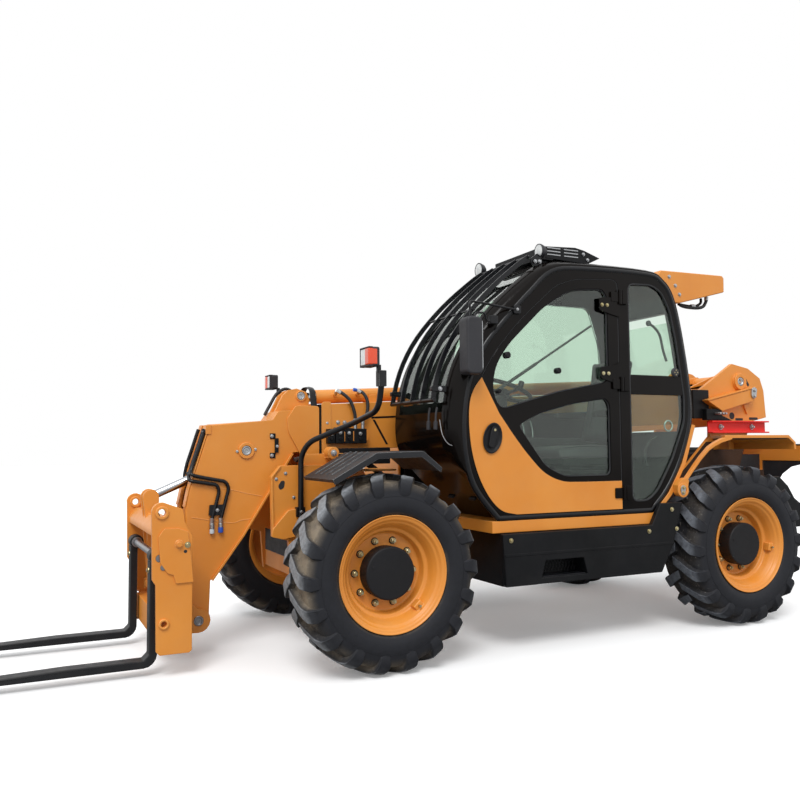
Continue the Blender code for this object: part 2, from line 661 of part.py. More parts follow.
def cab():
    outer = loft([
        (CAB_RIGHT, CAB_BODY), (CAB_SHOULDER, CAB_BODY),
        (CAB_LEFT - 0.03, [(x, max(z, CAB_FLOOR)) for x, z in inset(CAB_SIDE, -0.012)]),
        (CAB_LEFT, CAB_SIDE),
    ])
    room = inset(CAB_BODY, 0.045)
    side_room = inset(CAB_SIDE, 0.045)
    inner = loft([
        (CAB_RIGHT + CAB_WALL, room), (CAB_SHOULDER - 0.03, room), (CAB_LEFT - CAB_WALL, side_room),
    ])
    lug_x = (DOOR_HINGE[0] - 0.06, DOOR_HINGE[0] - 0.0125)
    lugs = [block(lug_x, (CAB_LEFT - 0.01, CAB_LEFT + 0.026), (z - 0.05, z + 0.05)) for z in HINGE_Z]
    cuts = [
        inner,
        prism(SCREEN, *SCREEN_Y),
        prism(REAR_WINDOW, *REAR_Y),
        prism(RIGHT_WINDOW, 0.1, CAB_RIGHT + 0.1),
        prism(inset(DOOR, -CLEAR), 0.9, 1.2),
        prism(QUARTER, 0.9, 1.2),
    ]
    node("cab_shell", "machine", "charcoal_paint", [outer] + lugs, cuts)

    def layer(y):
        return loft([
            (y[0], inset(CAB_BODY, 0.012)), (y[1], inset(CAB_BODY, 0.012)),
        ])

    def hollow_layer(name, y, window):
        skin = layer(y)
        made = pane(name, "machine", skin, window)
        core = to_object(f"{name}.core", loft([
            (y[0] - 0.1, inset(CAB_BODY, 0.020)), (y[1] + 0.1, inset(CAB_BODY, 0.020)),
        ]), "machine")
        core.hide_render = True
        core.display_type = "WIRE"
        cut = made.modifiers.new("inner face", "BOOLEAN")
        cut.operation = "DIFFERENCE"
        cut.solver = "EXACT"
        cut.object = core

    def inside(y):
        return y[0] + GAP, y[1] - GAP

    hollow_layer("windscreen", inside(SCREEN_Y), prism(shrunk(SCREEN), 0.0, 1.2))
    hollow_layer("rear_window", inside(REAR_Y), prism(shrunk(REAR_WINDOW), 0.0, 1.2))
    glass_t = 0.008
    node("right_window", "machine", "tinted_glass",
         [prism(shrunk(RIGHT_WINDOW), CAB_RIGHT + 0.01, CAB_RIGHT + 0.01 + glass_t)])
    node("quarter_window", "machine", "tinted_glass",
         [prism(shrunk(QUARTER), CAB_LEFT - 0.02, CAB_LEFT - 0.02 + glass_t)])


def door():
    skin = (CAB_LEFT - CAB_WALL, CAB_LEFT)
    solids = [prism(DOOR, *skin)]
    hinges = []
    for z in HINGE_Z:
        for x, y in ((0.0, 0.004), (0.02, -0.01)):
            leaf_x = (DOOR_HINGE[0] + x, DOOR_HINGE[0] + 0.12)
            hinges.append(block(leaf_x, (CAB_LEFT + y, CAB_LEFT + 0.016), (z - 0.035, z + 0.035)))
        hinges.append(rod((*DOOR_HINGE, z - 0.05), (*DOOR_HINGE, z + 0.05), 0.012, 12))
    node("door_frame", "cab_door", "charcoal_paint", solids + hinges,
         [prism(DOOR_UPPER, 0.9, 1.2), prism(DOOR_LOWER, 0.9, 1.2)])
    pane_y = (CAB_LEFT - 0.024, CAB_LEFT - 0.016)
    node("door_upper_glass", "cab_door", "tinted_glass", [prism(shrunk(DOOR_UPPER), *pane_y)])
    node("door_lower_glass", "cab_door", "tinted_glass", [prism(shrunk(DOOR_LOWER), *pane_y)])


GUARD_Y = [0.34, 0.49, 0.64, 0.78, 0.91]


def guard():
    outer = inset(CAB_BODY, -0.085)
    inner = inset(CAB_BODY, -0.055)
    start, stop = 3, 8
    strip = outer[start : stop + 1] + inner[start : stop + 1][::-1]
    solids = [prism(strip, y - 0.006, y + 0.006) for y in GUARD_Y]
    ends = (GUARD_Y[0] - 0.01, GUARD_Y[-1] + 0.01)
    for k in (start, 5, stop):
        x = (outer[k][0] + inner[k][0]) / 2
        z = (outer[k][1] + inner[k][1]) / 2
        lift = 0.02 if k == start else (-0.02 if k == stop else 0.0)
        solids.append(cross_rod(x, z + lift, 0.012, *ends, 8))
    foot = [(-0.33, 1.46), (-0.33, 1.50), (-0.4265, 1.50), (-0.4195, 1.46)]
    for y in (GUARD_Y[0], GUARD_Y[-1]):
        solids.append(prism(foot, y - 0.012, y + 0.012))
    node("windscreen_guard", "machine", "charcoal_paint", solids)


ROOF_Z = 2.55


def roof_light_bar():
    body = [(-1.20, 2.61), (-1.20, 2.66), (-1.50, 2.665), (-1.66, 2.62), (-1.50, 2.60)]
    solids = [prism(body, 0.30, 0.92)]
    for x in (-1.30, -1.48):
        for y in (0.36, 0.86):
            solids.append(block((x - 0.02, x + 0.02), (y - 0.02, y + 0.02), (ROOF_Z + GAP, 2.63)))
    for y in (0.33, 0.89):
        solids.append(rod((-1.27, y, 2.632), (-1.185, y, 2.632), 0.045, 12))
    node("roof_light_bar", "machine", "charcoal_paint", solids)


def interior():
    floor = CAB_FLOOR + 0.045
    y = (0.42, 0.86)
    cushion_and_back = [(-1.36, 1.20), (-1.36, 1.31), (-1.84, 1.30), (-1.98, 1.98), (-2.09, 1.96),
                        (-1.99, 1.19)]
    seat = [
        block((-1.98, -1.62), (0.48, 0.80), (floor + GAP, 1.20)),
        prism(cushion_and_back, *y),
        block((-2.11, -2.02), (0.52, 0.76), (1.95, 2.16)),
    ]
    node("driver_seat", "machine", "seat_vinyl", seat)
    column = [
        prism([(-0.78, 1.12), (-0.92, 1.12), (-1.06, 1.60), (-1.00, 1.62)], 0.57, 0.71),
        rod((-1.02, 0.64, 1.58), (-1.06, 0.64, 1.68), 0.03, 10),
        block((-0.94, -0.66), (0.42, 0.86), (1.10, 1.20)),
    ]
    bm = bmesh.new()
    ring = [bm.verts.new((0.19 + 0.014 * math.cos(a), 0, 0.014 * math.sin(a)))
            for a in (2 * math.pi * k / 8 for k in range(8))]
    edges = [bm.edges.new(pair) for pair in zip(ring, ring[1:] + ring[:1])]
    bmesh.ops.spin(bm, geom=ring + edges, cent=(0, 0, 0), axis=(0, 0, 1), steps=24, angle=2 * math.pi)
    bmesh.ops.remove_doubles(bm, verts=bm.verts, dist=1e-5)
    aim = Matrix.Translation((-1.065, 0.64, 1.685)) @ Matrix.Rotation(math.radians(-22), 4, "Y")
    bmesh.ops.transform(bm, matrix=aim, verts=bm.verts)
    column.append(finish(bm))
    spoke = Matrix.Rotation(math.radians(-22), 4, "Y")
    tip = spoke @ Vector((0.19, 0, 0))
    centre = Vector((-1.065, 0.64, 1.685))
    column.append(rod(centre - tip, centre + tip, 0.012, 8))
    column.append(rod(centre, centre + Vector((0, 0.19, 0)), 0.012, 8))
    foot = block((-1.02, -0.93), (0.57, 0.71), (floor + GAP, 1.30))
    node("steering_column", "machine", "black_rubber", column + [foot])


def outside_fittings():
    plate = CAB_LEFT + GAP
    mirror = [
        prism([(-0.59, 1.80), (-0.59, 2.075), (-0.575, 2.09), (-0.515, 2.09), (-0.50, 2.075),
               (-0.50, 1.77), (-0.515, 1.755), (-0.57, 1.755)], 1.027, 1.14),
        pipe([(-0.55, 1.07, 2.05), (-0.55, 1.07, 2.205), (-0.70, 1.055, 2.195), (-0.905, 1.035, 2.18)],
             0.010, 0.03),
        block((-0.945, -0.895), (plate, 1.045), (2.155, 2.20)),
    ]
    node("mirror_left", "machine", "black_rubber", mirror)
    for name, side in (("left", 1), ("right", -1)):
        foot_y = side * (frame_outer + GAP)
        post = [
            (0.31, foot_y + side * 0.035, 0.86), (0.309, foot_y + side * 0.035, 1.253),
            (0.27, side * 0.42, 1.341), (0.07, side * 0.65, 1.45), (0.02, side * 0.95, 1.523),
            (0.022, side, 1.67),
        ]
        solids = [
            pipe(post, 0.018, 0.08),
            block((0.28, 0.34), sorted((foot_y, foot_y + side * 0.04)), (0.86, 0.92)),
            block((0.0, 0.047), sorted((side * 0.975, side * 1.025)), (1.66, 1.757)),
            block((0.02, 0.075), sorted((side * 0.985, side * 1.015)), (1.745, 1.775)),
            block((0.06, 0.135), sorted((side * 0.93, side * 1.065)), (1.769, 1.892)),
        ]
        node(f"headlamp_{name}", "machine", "black_rubber", solids)


def air_conditioner():
    seat = inset(CAB_BODY, -GAP * 1.5)
    roof, shoulder, rear, back = seat[10:14]

    def between(a, b, x):
        return x, a[1] + (b[1] - a[1]) * (x - a[0]) / (b[0] - a[0])

    outline = [
        (-2.215, 2.562), (-2.82, 2.572), (-2.839, 2.555), (-2.836, 2.447), (-2.39, 2.334),
        between(rear, back, -2.313), rear, shoulder, between(roof, shoulder, -2.17),
    ]
    node("air_conditioner_housing", "machine", "orange_paint", [prism(outline, 0.36, 0.96)])
    route = [
        (-2.715, 0.90, 2.4119), (-2.713, 0.90, 2.395), (-2.708, 0.90, 2.375), (-2.676, 0.905, 2.338),
        (-2.625, 0.91, 2.322), (-2.56, 0.91, 2.318), (-2.49, 0.905, 2.322), (-2.452, 0.90, 2.333),
        (-2.447, 0.90, 2.3448),
    ]
    hose("air_conditioner_hose", "machine", route, 0.012)


# ---- boom ----------------------------------------------------------------------------------------------
INNER_PLAY = 0.007
INNER_HALF = BOOM_HALF - BOOM_WALL - INNER_PLAY
INNER_TOP = BOOM_TOP - BOOM_WALL - INNER_PLAY
INNER_HEIGHT = BOOM_HEIGHT - 2 * (BOOM_WALL + INNER_PLAY)
INNER_BACK = 0.35
INNER_FRONT = 3.90  # along the boom, inside the head
EXTEND_AXIS = 0.012  # height of the extension cylinder's line over the pin
EXTEND_R = 0.05
EXTEND_ROD_R = 0.0325
PORTS = (3.45, 3.62)  # along the boom: the cylinder's two hose ports
PADS = (3.60, 3.74)  # along the boom: the wear pads at its mouth
EXTEND_START = 0.55  # along the boom: the ends of the extension cylinder, and its rod's eye
EXTEND_MOUTH = 3.75
EXTEND_EYE = (3.871, 0.018)
ROD_START = 0.80


def along_boom(points):
    return [boom_at(*p) for p in points]


def boom_box(low_u, high_u, low_w, high_w, half):
    corners = [(low_u, low_w), (high_u, low_w), (high_u, high_w), (low_u, high_w)]
    return prism(along_boom(corners), -half, half)


def boom_rod(low_u, high_u, w, radius, sides=16):
    x0, z0 = boom_at(low_u, w)
    x1, z1 = boom_at(high_u, w)
    return rod((x0, 0, z0), (x1, 0, z1), radius, sides)


def outer_boom():
    bottom = BOOM_TOP - BOOM_HEIGHT
    solids = [boom_box(BOOM_BACK, BOOM_FRONT, bottom, BOOM_TOP, BOOM_HALF)]
    ear = along_boom([(-0.075, -0.05), (-0.06, 0.04), (0.0, 0.075), (0.10, 0.06), (0.42, BOOM_TOP + 0.001),
                      (0.42, bottom + 0.02), (0.13, bottom + 0.02), (0.0, -0.16)])
    ear_in = BOOM_HALF - 0.022
    solids += [prism(ear, *sorted((side * ear_in, side * (BOOM_HALF - 0.001)))) for side in (1, -1)]
    solids.append(cross_rod(PIVOT_X, PIVOT_Z, 0.065, -FRAME_Y + 0.001, FRAME_Y - 0.001, 20))
    # lugs for the lift cylinder's rod eye
    x, z = LIFT_EYE
    lug = [(x - 0.12, z + 0.115), (x - 0.055, z - 0.03)] + arc((x, z), 0.06, 210, 330, 4)
    lug += [(x + 0.055, z - 0.03), (x + 0.12, z + 0.10)]
    solids += [prism(lug, *sorted((side * 0.050, side * 0.075))) for side in (1, -1)]
    # saddles under the extension cylinder
    for u in (0.95, 2.2, 3.30):
        solids.append(boom_box(u, u + 0.06, BOOM_TOP - 0.005, EXTEND_AXIS, 0.062))
    # valve block on the left side
    valve = along_boom([(3.44, -0.31), (3.62, -0.31), (3.62, -0.24), (3.44, -0.24)])
    solids.append(prism(valve, BOOM_HALF - 0.005, BOOM_HALF + 0.055))
    wall = BOOM_WALL
    cuts = [
        boom_box(BOOM_BACK + 0.02, BOOM_FRONT + 0.1, bottom + wall, BOOM_TOP - wall, BOOM_HALF - wall),
        cross_rod(PIVOT_X, PIVOT_Z, PIVOT_PIN_R + PIN_PLAY, -0.4, 0.4, 24),
        boom_rod(0.5, 3.9, EXTEND_AXIS, EXTEND_R + GAP, 16),
    ]
    # wear pads fill the play around the inner section at the mouth
    pad_play = INNER_PLAY - 0.0005
    pads = []
    for side in (1, -1):
        y = sorted((side * (BOOM_HALF - wall + 0.002), side * (BOOM_HALF - wall - pad_play)))
        for low in (BOOM_TOP - 0.12, bottom + 0.04):
            corners = [(PADS[0], low), (PADS[1], low), (PADS[1], low + 0.08), (PADS[0], low + 0.08)]
            pads.append(prism(along_boom(corners), *y))
    for low, high in ((bottom + wall - 0.002, bottom + wall + pad_play),
                      (BOOM_TOP - wall - pad_play, BOOM_TOP - wall + 0.002)):
        pads.append(boom_box(*PADS, low, high, 0.08))
    node("outer_boom", "boom_lift", "orange_paint", solids, cuts, pads)
    barrel = [boom_rod(EXTEND_START, EXTEND_MOUTH, EXTEND_AXIS, EXTEND_R, 16)]
    for u in PORTS:
        x, z = boom_at(u, EXTEND_AXIS + 0.01)
        barrel.append(rod((x, 0.02, z), (x, 0.075, z), 0.013, 8))
    bore = [boom_rod(ROD_START - 0.1, 3.9, EXTEND_AXIS, EXTEND_ROD_R + 0.0005, 16)]
    node("extension_barrel", "boom_lift", "orange_paint", barrel, bore)
    for i, u in enumerate(PORTS):
        x, z = boom_at(u, EXTEND_AXIS + 0.01)
        low = boom_at(3.49 + 0.08 * i, -0.24)
        route = [
            (x, 0.075 + GAP, z), (x, 0.09, z), (x, 0.11, z), (x - 0.03, BOOM_HALF + 0.015, z - 0.05),
            (low[0], BOOM_HALF + 0.032, low[1] + 0.12), (low[0], BOOM_HALF + 0.032, low[1] + 0.0012),
        ]
        hose(f"boom_hose_{('rear', 'front')[i]}", "boom_lift", route, 0.011)


HEAD = [  # (x, z) of the head that turns down in front of the boom
    (0.124, 1.566), (0.39, 1.548), (0.43, 1.488), (0.84, 1.458), (0.972, 1.046), (0.995, 0.937),
]
HEAD_HALF = 0.15
HEAD_WALL = 0.016
HEAD_TIP_R = 0.07
HEAD_BACK_EDGE = [(0.836, 0.468), (0.633, 0.743), (0.305, 1.261), (0.285, 1.272), (0.124, 1.281)]
END_PLATE = (0.124, 0.146)
TILT_SWING = (math.radians(21.0), math.radians(31.0))  # the head leaves room for the tilt cylinder's slopes


def inner_boom():
    bottom = INNER_TOP - INNER_HEIGHT
    wall = 0.012
    outline = HEAD + arc(PIVOT_CARRIAGE, HEAD_TIP_R, 0, -180, 8) + HEAD_BACK_EDGE
    skirt = [(END_PLATE[0], 1.21), (END_PLATE[0], 1.30), (END_PLATE[1], 1.30), (END_PLATE[1], 1.21)]
    room = inset(outline, HEAD_WALL)
    solids = [
        boom_box(INNER_BACK, INNER_FRONT, bottom, INNER_TOP, INNER_HALF),
        prism(outline, -HEAD_HALF, HEAD_HALF),
        prism(skirt, -HEAD_HALF, HEAD_HALF),
    ]
    eye_x, eye_z = boom_at(*EXTEND_EYE)
    ear = [(0.15, 1.55), (0.145, 1.636), (0.165, 1.685), (0.235, 1.708), (0.295, 1.695), (0.335, 1.66),
           (0.40, 1.53)]
    solids += [prism(ear, *sorted((side * 0.040, side * 0.065))) for side in (1, -1)]
    reach, half = 0.45, 0.058
    slot = []
    for slope, up, ends in ((TILT_SWING[0], half, (0, reach)), (TILT_SWING[1], -half, (reach, 0))):
        for along in ends:
            slot.append((
                TILT_BASE[0] + along * math.cos(slope) + up * math.sin(slope),
                TILT_BASE[1] - along * math.sin(slope) + up * math.cos(slope),
            ))
    cuts = [
        boom_box(INNER_BACK - 0.1, INNER_FRONT + 0.12, bottom + wall, INNER_TOP - wall, INNER_HALF - wall),
        prism(room, HEAD_WALL - HEAD_HALF, HEAD_HALF - HEAD_WALL),
        block((0.86, 1.2), (-0.07, 0.07), (0.72, 1.29)),
        prism(slot, -half, half),
        cross_rod(*PIVOT_CARRIAGE, 0.03 + PIN_PLAY, -0.3, 0.3, 16),
        cross_rod(*TILT_BASE, 0.0255, -0.3, 0.3, 16),
    ]
    node("inner_boom", "boom_extend", "orange_paint", solids, cuts)
    node("extension_rod", "boom_extend", "grey_steel",
         [boom_rod(ROD_START, EXTEND_EYE[0] - 0.021, EXTEND_AXIS, EXTEND_ROD_R, 16),
          cross_rod(eye_x, eye_z, 0.038, -0.039, 0.039, 16)])
    y = HEAD_HALF + GAP + 0.016
    runs = [
        [(0.869, 0.085, 1.43), (0.881, 0.085, 1.395), (0.914, 0.085, 1.29), (0.948, 0.088, 1.185),
         (0.976, 0.11, 1.11), (0.984, y, 1.10), (0.93, y, 1.092), (0.789, y, 1.06), (0.774, y, 1.02),
         (0.812, y, 0.855)],
        [(0.872, 0.125, 1.42), (0.890, 0.125, 1.365), (0.945, 0.13, 1.20), (0.962, 0.14, 1.155),
         (0.975, y, 1.135), (0.92, y, 1.125), (0.741, y, 1.085), (0.718, y, 1.055), (0.752, y, 0.855)],
    ]
    solids = [pipe(run, 0.0115, 0.04, 8) for run in runs]
    solids.append(prism([(0.735, 0.875), (0.83, 0.875), (0.83, 0.945), (0.735, 0.945)], HEAD_HALF + GAP, y))
    solids.append(block((0.860, 0.885), (0.06, 0.14), (1.402, 1.418)))
    node("coupler_pipes", "boom_extend", "charcoal_paint", solids)


def cylinder(name, body, base, eye, sizes):
    """Barrel and rod on the line from base to eye."""
    barrel_r, rod_r, share, rod_start, eye_half, pin_half, pin_r = sizes
    start, end = Vector((base[0], 0, base[1])), Vector((eye[0], 0, eye[1]))
    along = (end - start).normalized()
    length = (end - start).length
    mouth = start + along * length * share
    barrel = [
        rod(start + along * 0.02, mouth, barrel_r, 16),
        cross_rod(base[0], base[1], barrel_r * 0.95, -eye_half, eye_half, 16),
        cross_rod(base[0], base[1], pin_r, -pin_half, pin_half, 16),
    ]
    bore = [rod(start + along * 0.16, mouth + along, rod_r + 0.0005, 16)]
    node(f"{name}_barrel", body, "charcoal_paint", barrel, bore)
    stem = [
        rod(start + along * rod_start, end - along * 0.02, rod_r, 16),
        cross_rod(eye[0], eye[1], rod_r * 1.35, -eye_half, eye_half, 16),
    ]
    node(f"{name}_rod", body, "grey_steel", stem)


# ---- carriage and forks --------------------------------------------------------------------------------
SHAFT = (1.215, 0.68)
SHAFT_R = 0.022
SIDE_HALF = 0.56  # outer faces of the carriage's side plates
SIDE_T = 0.03
SIDE_HOLE = (1.205, 0.939)
SIDE_LOW_HOLE = (1.19, 0.31)


def carriage():
    plate = [
        (1.03, 0.15), (1.045, 0.135), (1.21, 0.135), (1.23, 0.155), (1.235, 0.53), (1.255, 0.56),
        (1.26, 0.93), *arc((1.205, 0.94), 0.058, 10, 100, 4), (1.085, 0.955), (1.075, 0.88), (1.03, 0.80),
    ]
    plate_y = (SIDE_HALF - SIDE_T, SIDE_HALF)
    solids = [prism(plate, *sorted((side * plate_y[0], side * plate_y[1]))) for side in (1, -1)]
    inner = plate_y[0] + 0.01
    beam = [(1.14, 0.80), (1.14, 0.90), (1.205, 0.90), (1.245, 0.84), (1.245, 0.80)]
    solids.append(prism(beam, -inner, inner))
    solids.append(block((1.10, 1.195), (-inner, inner), (0.16, 0.32)))
    rib = [
        *arc(PIVOT_CARRIAGE, 0.075, 90, 270, 8), (1.16, 0.165), (1.18, 0.60), (1.18, 0.86), (1.13, 0.86),
        (1.10, 0.60), (1.04, 0.40),
    ]
    solids += [prism(rib, *sorted((side * 0.157, side * 0.182))) for side in (1, -1)]
    x, z = TILT_EYE
    fin = [(x - 0.045, 0.85), (x + 0.03, 0.85), *arc((x, z), 0.05, -10, 190, 8)]
    solids += [prism(fin, *sorted((side * 0.036, side * 0.060))) for side in (1, -1)]
    solids.append(cross_rod(*PIVOT_CARRIAGE, 0.03, -0.17, 0.17, 16))
    cuts = [
        cross_rod(*SHAFT, SHAFT_R + GAP, -0.6, 0.6, 16),
        block((1.15, 1.25), (-0.035, 0.035), (0.915, 1.1)),
    ]
    for side in (1, -1):
        y = sorted((side * (plate_y[0] - 0.01), side * (SIDE_HALF + 0.01)))
        cuts += [cross_rod(*SIDE_HOLE, 0.021, *y, 12), cross_rod(*SIDE_LOW_HOLE, 0.017, *y, 12)]
    node("fork_carriage", "carriage_tilt", "orange_paint", solids, cuts)
    shaft = cross_rod(*SHAFT, SHAFT_R, 0.005 - SIDE_HALF, SIDE_HALF - 0.005, 16)
    node("fork_shaft", "carriage_tilt", "grey_steel", [shaft])
    back = FORK_FACE - FORK_THICK
    low, top = FORK_LOW, FORK_LOW + FORK_THICK
    fork = [(back, 0.655), (back, 0.12), *arc((back + 0.075, low + 0.075), 0.075, 180, 270, 4)[1:],
            (FORK_TIP - 0.12, low), (FORK_TIP, low + 0.012), (FORK_TIP, low + 0.022),
            (FORK_FACE + 0.45, top), (FORK_FACE + 0.03, top), (FORK_FACE, top + 0.03), (FORK_FACE, 0.655)]
    for name, side in (("left", 1), ("right", -1)):
        y = sorted((side * (FORK_Y - FORK_WIDTH / 2), side * (FORK_Y + FORK_WIDTH / 2)))
        node(f"fork_{name}", "carriage_tilt", "charcoal_paint",
             [prism(fork, *y), cross_rod(*SHAFT, 0.045, *y, 16)],
             [cross_rod(*SHAFT, SHAFT_R + GAP, -1, 1, 16)])


# ---- assembly ------------------------------------------------------------------------------------------
chassis()
cab_deck()
side_tank()
fenders()
counterweight()
safety_strut()
axle("front_axle", 0.0)
axle("rear_axle", -WHEELBASE)
for corner, (axle_x, side) in WHEELS.items():
    knuckle(corner, axle_x, side)
    wheel(corner, axle_x, side)
engine()
cab()
door()
guard()
roof_light_bar()
interior()
outside_fittings()
air_conditioner()
outer_boom()
inner_boom()
# barrel radius, rod radius, barrel's share of the length, rod's start, half eye, half pin, pin radius
LIFT_SIZES = (0.07, 0.04, 0.88, 0.17, 0.0495, frame_outer + 0.01, LIFT_PIN_R)
TILT_SIZES = (0.05, 0.028, 0.79, 0.325, 0.0355, INNER_HALF - 0.001, 0.025)
cylinder("lift", "lift_swing", LIFT_BASE, LIFT_EYE, LIFT_SIZES)
cylinder("tilt", "tilt_swing", TILT_BASE, TILT_EYE, TILT_SIZES)
carriage()
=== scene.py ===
"""The looks of a telescopic handler with pallet forks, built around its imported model.

Pieces are made in the machine's own frame, in metres: x forward from the front axle, y to the machine's
left and z up from the ground. put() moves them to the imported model's frame.
"""
import json
import math

import bmesh
import bpy
from mathutils import Matrix, Vector

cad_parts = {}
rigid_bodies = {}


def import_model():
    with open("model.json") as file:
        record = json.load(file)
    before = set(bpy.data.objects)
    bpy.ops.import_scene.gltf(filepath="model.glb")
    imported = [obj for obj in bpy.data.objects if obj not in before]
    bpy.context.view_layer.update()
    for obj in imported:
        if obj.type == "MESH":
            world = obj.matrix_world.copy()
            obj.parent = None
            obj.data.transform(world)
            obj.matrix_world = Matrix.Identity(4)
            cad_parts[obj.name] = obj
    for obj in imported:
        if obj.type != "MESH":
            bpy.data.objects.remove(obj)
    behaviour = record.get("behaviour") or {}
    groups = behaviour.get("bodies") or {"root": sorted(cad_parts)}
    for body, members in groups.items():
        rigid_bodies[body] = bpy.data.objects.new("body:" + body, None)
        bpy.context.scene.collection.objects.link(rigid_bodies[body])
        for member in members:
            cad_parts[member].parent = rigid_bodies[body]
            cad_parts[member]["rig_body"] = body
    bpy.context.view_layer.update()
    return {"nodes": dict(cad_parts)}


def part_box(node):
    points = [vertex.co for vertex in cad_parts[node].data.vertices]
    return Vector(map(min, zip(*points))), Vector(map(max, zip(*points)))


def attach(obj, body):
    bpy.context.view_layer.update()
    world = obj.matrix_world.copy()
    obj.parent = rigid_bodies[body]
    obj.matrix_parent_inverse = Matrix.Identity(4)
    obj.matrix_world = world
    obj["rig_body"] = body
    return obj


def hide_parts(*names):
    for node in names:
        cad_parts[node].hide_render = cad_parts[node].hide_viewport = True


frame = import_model()
NODES = frame["nodes"]
tyre_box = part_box("front_left_tyre")
AXLE_X = (tyre_box[0].x + tyre_box[1].x) / 2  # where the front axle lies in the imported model
MACHINE = Matrix.Translation((AXLE_X, 0, 0))
WHEELBASE = 2.85
CORNERS = {"front_left": (0.0, 1), "front_right": (0.0, -1), "rear_left": (-WHEELBASE, 1),
    "rear_right": (-WHEELBASE, -1)}
SIDES = (1, -1)  # left, right


# ---- finishes ------------------------------------------------------------------------------------------
def linear(code):
    """The linear colour of an sRGB hex value."""
    parts = [int(code[k:k + 2], 16) / 255 for k in (1, 3, 5)]
    return (*[c / 12.92 if c <= 0.04045 else ((c + 0.055) / 1.055) ** 2.4 for c in parts], 1.0)


def add(tree, kind, inputs=(), **settings):
    """A node with its settings. An input is a value, or (node, output) to link from."""
    made = tree.nodes.new(f"ShaderNode{kind}")
    for name, value in settings.items():
        setattr(made, name, value)
    for socket, value in dict(inputs).items():
        if isinstance(value, tuple) and isinstance(value[0], bpy.types.Node):
            tree.links.new(value[0].outputs[value[1]], made.inputs[socket])
        else:
            made.inputs[socket].default_value = value
    return made


def blank(name, **values):
    """A new material with plain values on its shader's own sockets."""
    made = bpy.data.materials.new(name)
    made.use_nodes = True
    shader = made.node_tree.nodes["Principled BSDF"]
    for socket, value in values.items():
        shader.inputs[socket.replace("_", " ")].default_value = value
    return made, made.node_tree, shader


def coating(name, shades, rough, spread=0.5, grain=(1.5, 0.02), dust=None, wear_and_highlight=None, soften=1.5, **values):
    """Paint, plastic, rubber or metal.

    shades: two hex colours that drift into each other over spread metres. rough: its two roughnesses.
    grain: (size, depth) of the surface's unevenness, in mm. dust: (hex, most) that settles on top.
    wear_and_highlight: (hex, share) along edges: worn paint on some finishes, a painted highlight on others.
    soften: the edges' radius, in mm.
    """
    made, tree, shader = blank(name, **values)
    place = add(tree, "TexCoord")
    broad = add(tree, "TexNoise", {"Vector": (place, "Object"), "Scale": 1 / spread, "Detail": 5.0})
    even = add(tree, "MapRange", {0: (broad, 0), 1: 0.35, 2: 0.65})
    colour = add(tree, "Mix", {0: (even, 0), 6: linear(shades[0]), 7: linear(shades[1])}, data_type="RGBA")
    streaks = add(tree, "TexNoise", {"Vector": (place, "Object"), "Scale": 22.0, "Detail": 6.0,
        "Roughness": 0.7})
    gloss = add(tree, "MapRange", {0: (streaks, 0), 1: 0.3, 2: 0.7, 3: rough[0], 4: rough[1]})
    round_edge = add(tree, "Bevel", {"Radius": soften / 1000}, samples=4)
    # a tint along edges: worn paint on some finishes, a painted highlight on others
    if wear_and_highlight:
        flat_face = add(tree, "NewGeometry")
        turned = add(tree, "VectorMath", {0: (round_edge, 0), 1: (flat_face, "Normal")},
            operation="DOT_PRODUCT")
        wear_and_highlight_edges = add(tree, "MapRange", {0: (turned, "Value"), 1: 0.995, 2: 0.93, 3: 0.0, 4: wear_and_highlight[1]})
        chance = add(tree, "Math", {0: (wear_and_highlight_edges, 0), 1: (streaks, 0)}, operation="MULTIPLY")
        some = add(tree, "MapRange", {0: (chance, 0), 1: 0.25, 2: 0.4})
        colour = add(tree, "Mix", {0: (some, 0), 6: (colour, 2), 7: linear(wear_and_highlight[0])}, data_type="RGBA")
    if dust:
        flat_face = add(tree, "NewGeometry")
        up = add(tree, "SeparateXYZ", {0: (flat_face, "Normal")})
        lying = add(tree, "MapRange", {0: (up, 2), 1: -0.2, 2: 1.0, 3: 0.15, 4: 1.0})
        patches = add(tree, "TexNoise", {"Vector": (place, "Object"), "Scale": 7.0, "Detail": 8.0,
            "Roughness": 0.65})
        thick = add(tree, "MapRange", {0: (patches, 0), 1: 0.42, 2: 0.75, 3: 0.0, 4: dust[1]})
        amount = add(tree, "Math", {0: (lying, 0), 1: (thick, 0)}, operation="MULTIPLY")
        colour = add(tree, "Mix", {0: (amount, 0), 6: (colour, 2), 7: linear(dust[0])}, data_type="RGBA")
        gloss = add(tree, "Mix", {0: (amount, 0), 2: (gloss, 0), 3: 0.9})
    fine = add(tree, "TexNoise", {"Vector": (place, "Object"), "Scale": 1000 / grain[0], "Detail": 3.0})
    bump = add(tree, "Bump", {"Height": (fine, 0), "Distance": grain[1] / 1000, "Normal": (round_edge, 0)})
    for output, socket in ((colour.outputs[2], "Base Color"), (gloss.outputs[0], "Roughness"),
            (bump.outputs[0], "Normal")):
        tree.links.new(output, shader.inputs[socket])
    return made


def glazing(name, tint, **values):
    """Float glass. Lamps pass it, so that what it shuts in stays lit."""
    made, tree, shader = blank(name, Base_Color=linear(tint), IOR=1.52, Transmission_Weight=1.0, **values)
    place = add(tree, "TexCoord")
    film = add(tree, "TexNoise", {"Vector": (place, "Object"), "Scale": 9.0, "Detail": 4.0})
    wiped = add(tree, "MapRange", {0: (film, 0), 1: 0.4, 2: 0.8, 3: 0.0, 4: 0.025})
    tree.links.new(wiped.outputs[0], shader.inputs["Roughness"])
    ray = add(tree, "LightPath")
    open_way = add(tree, "BsdfTransparent", {0: linear(tint)})
    either = add(tree, "MixShader", {0: (ray, "Is Shadow Ray"), 1: (shader, 0), 2: (open_way, 0)})
    tree.links.new(either.outputs[0], tree.nodes["Material Output"].inputs["Surface"])
    return made
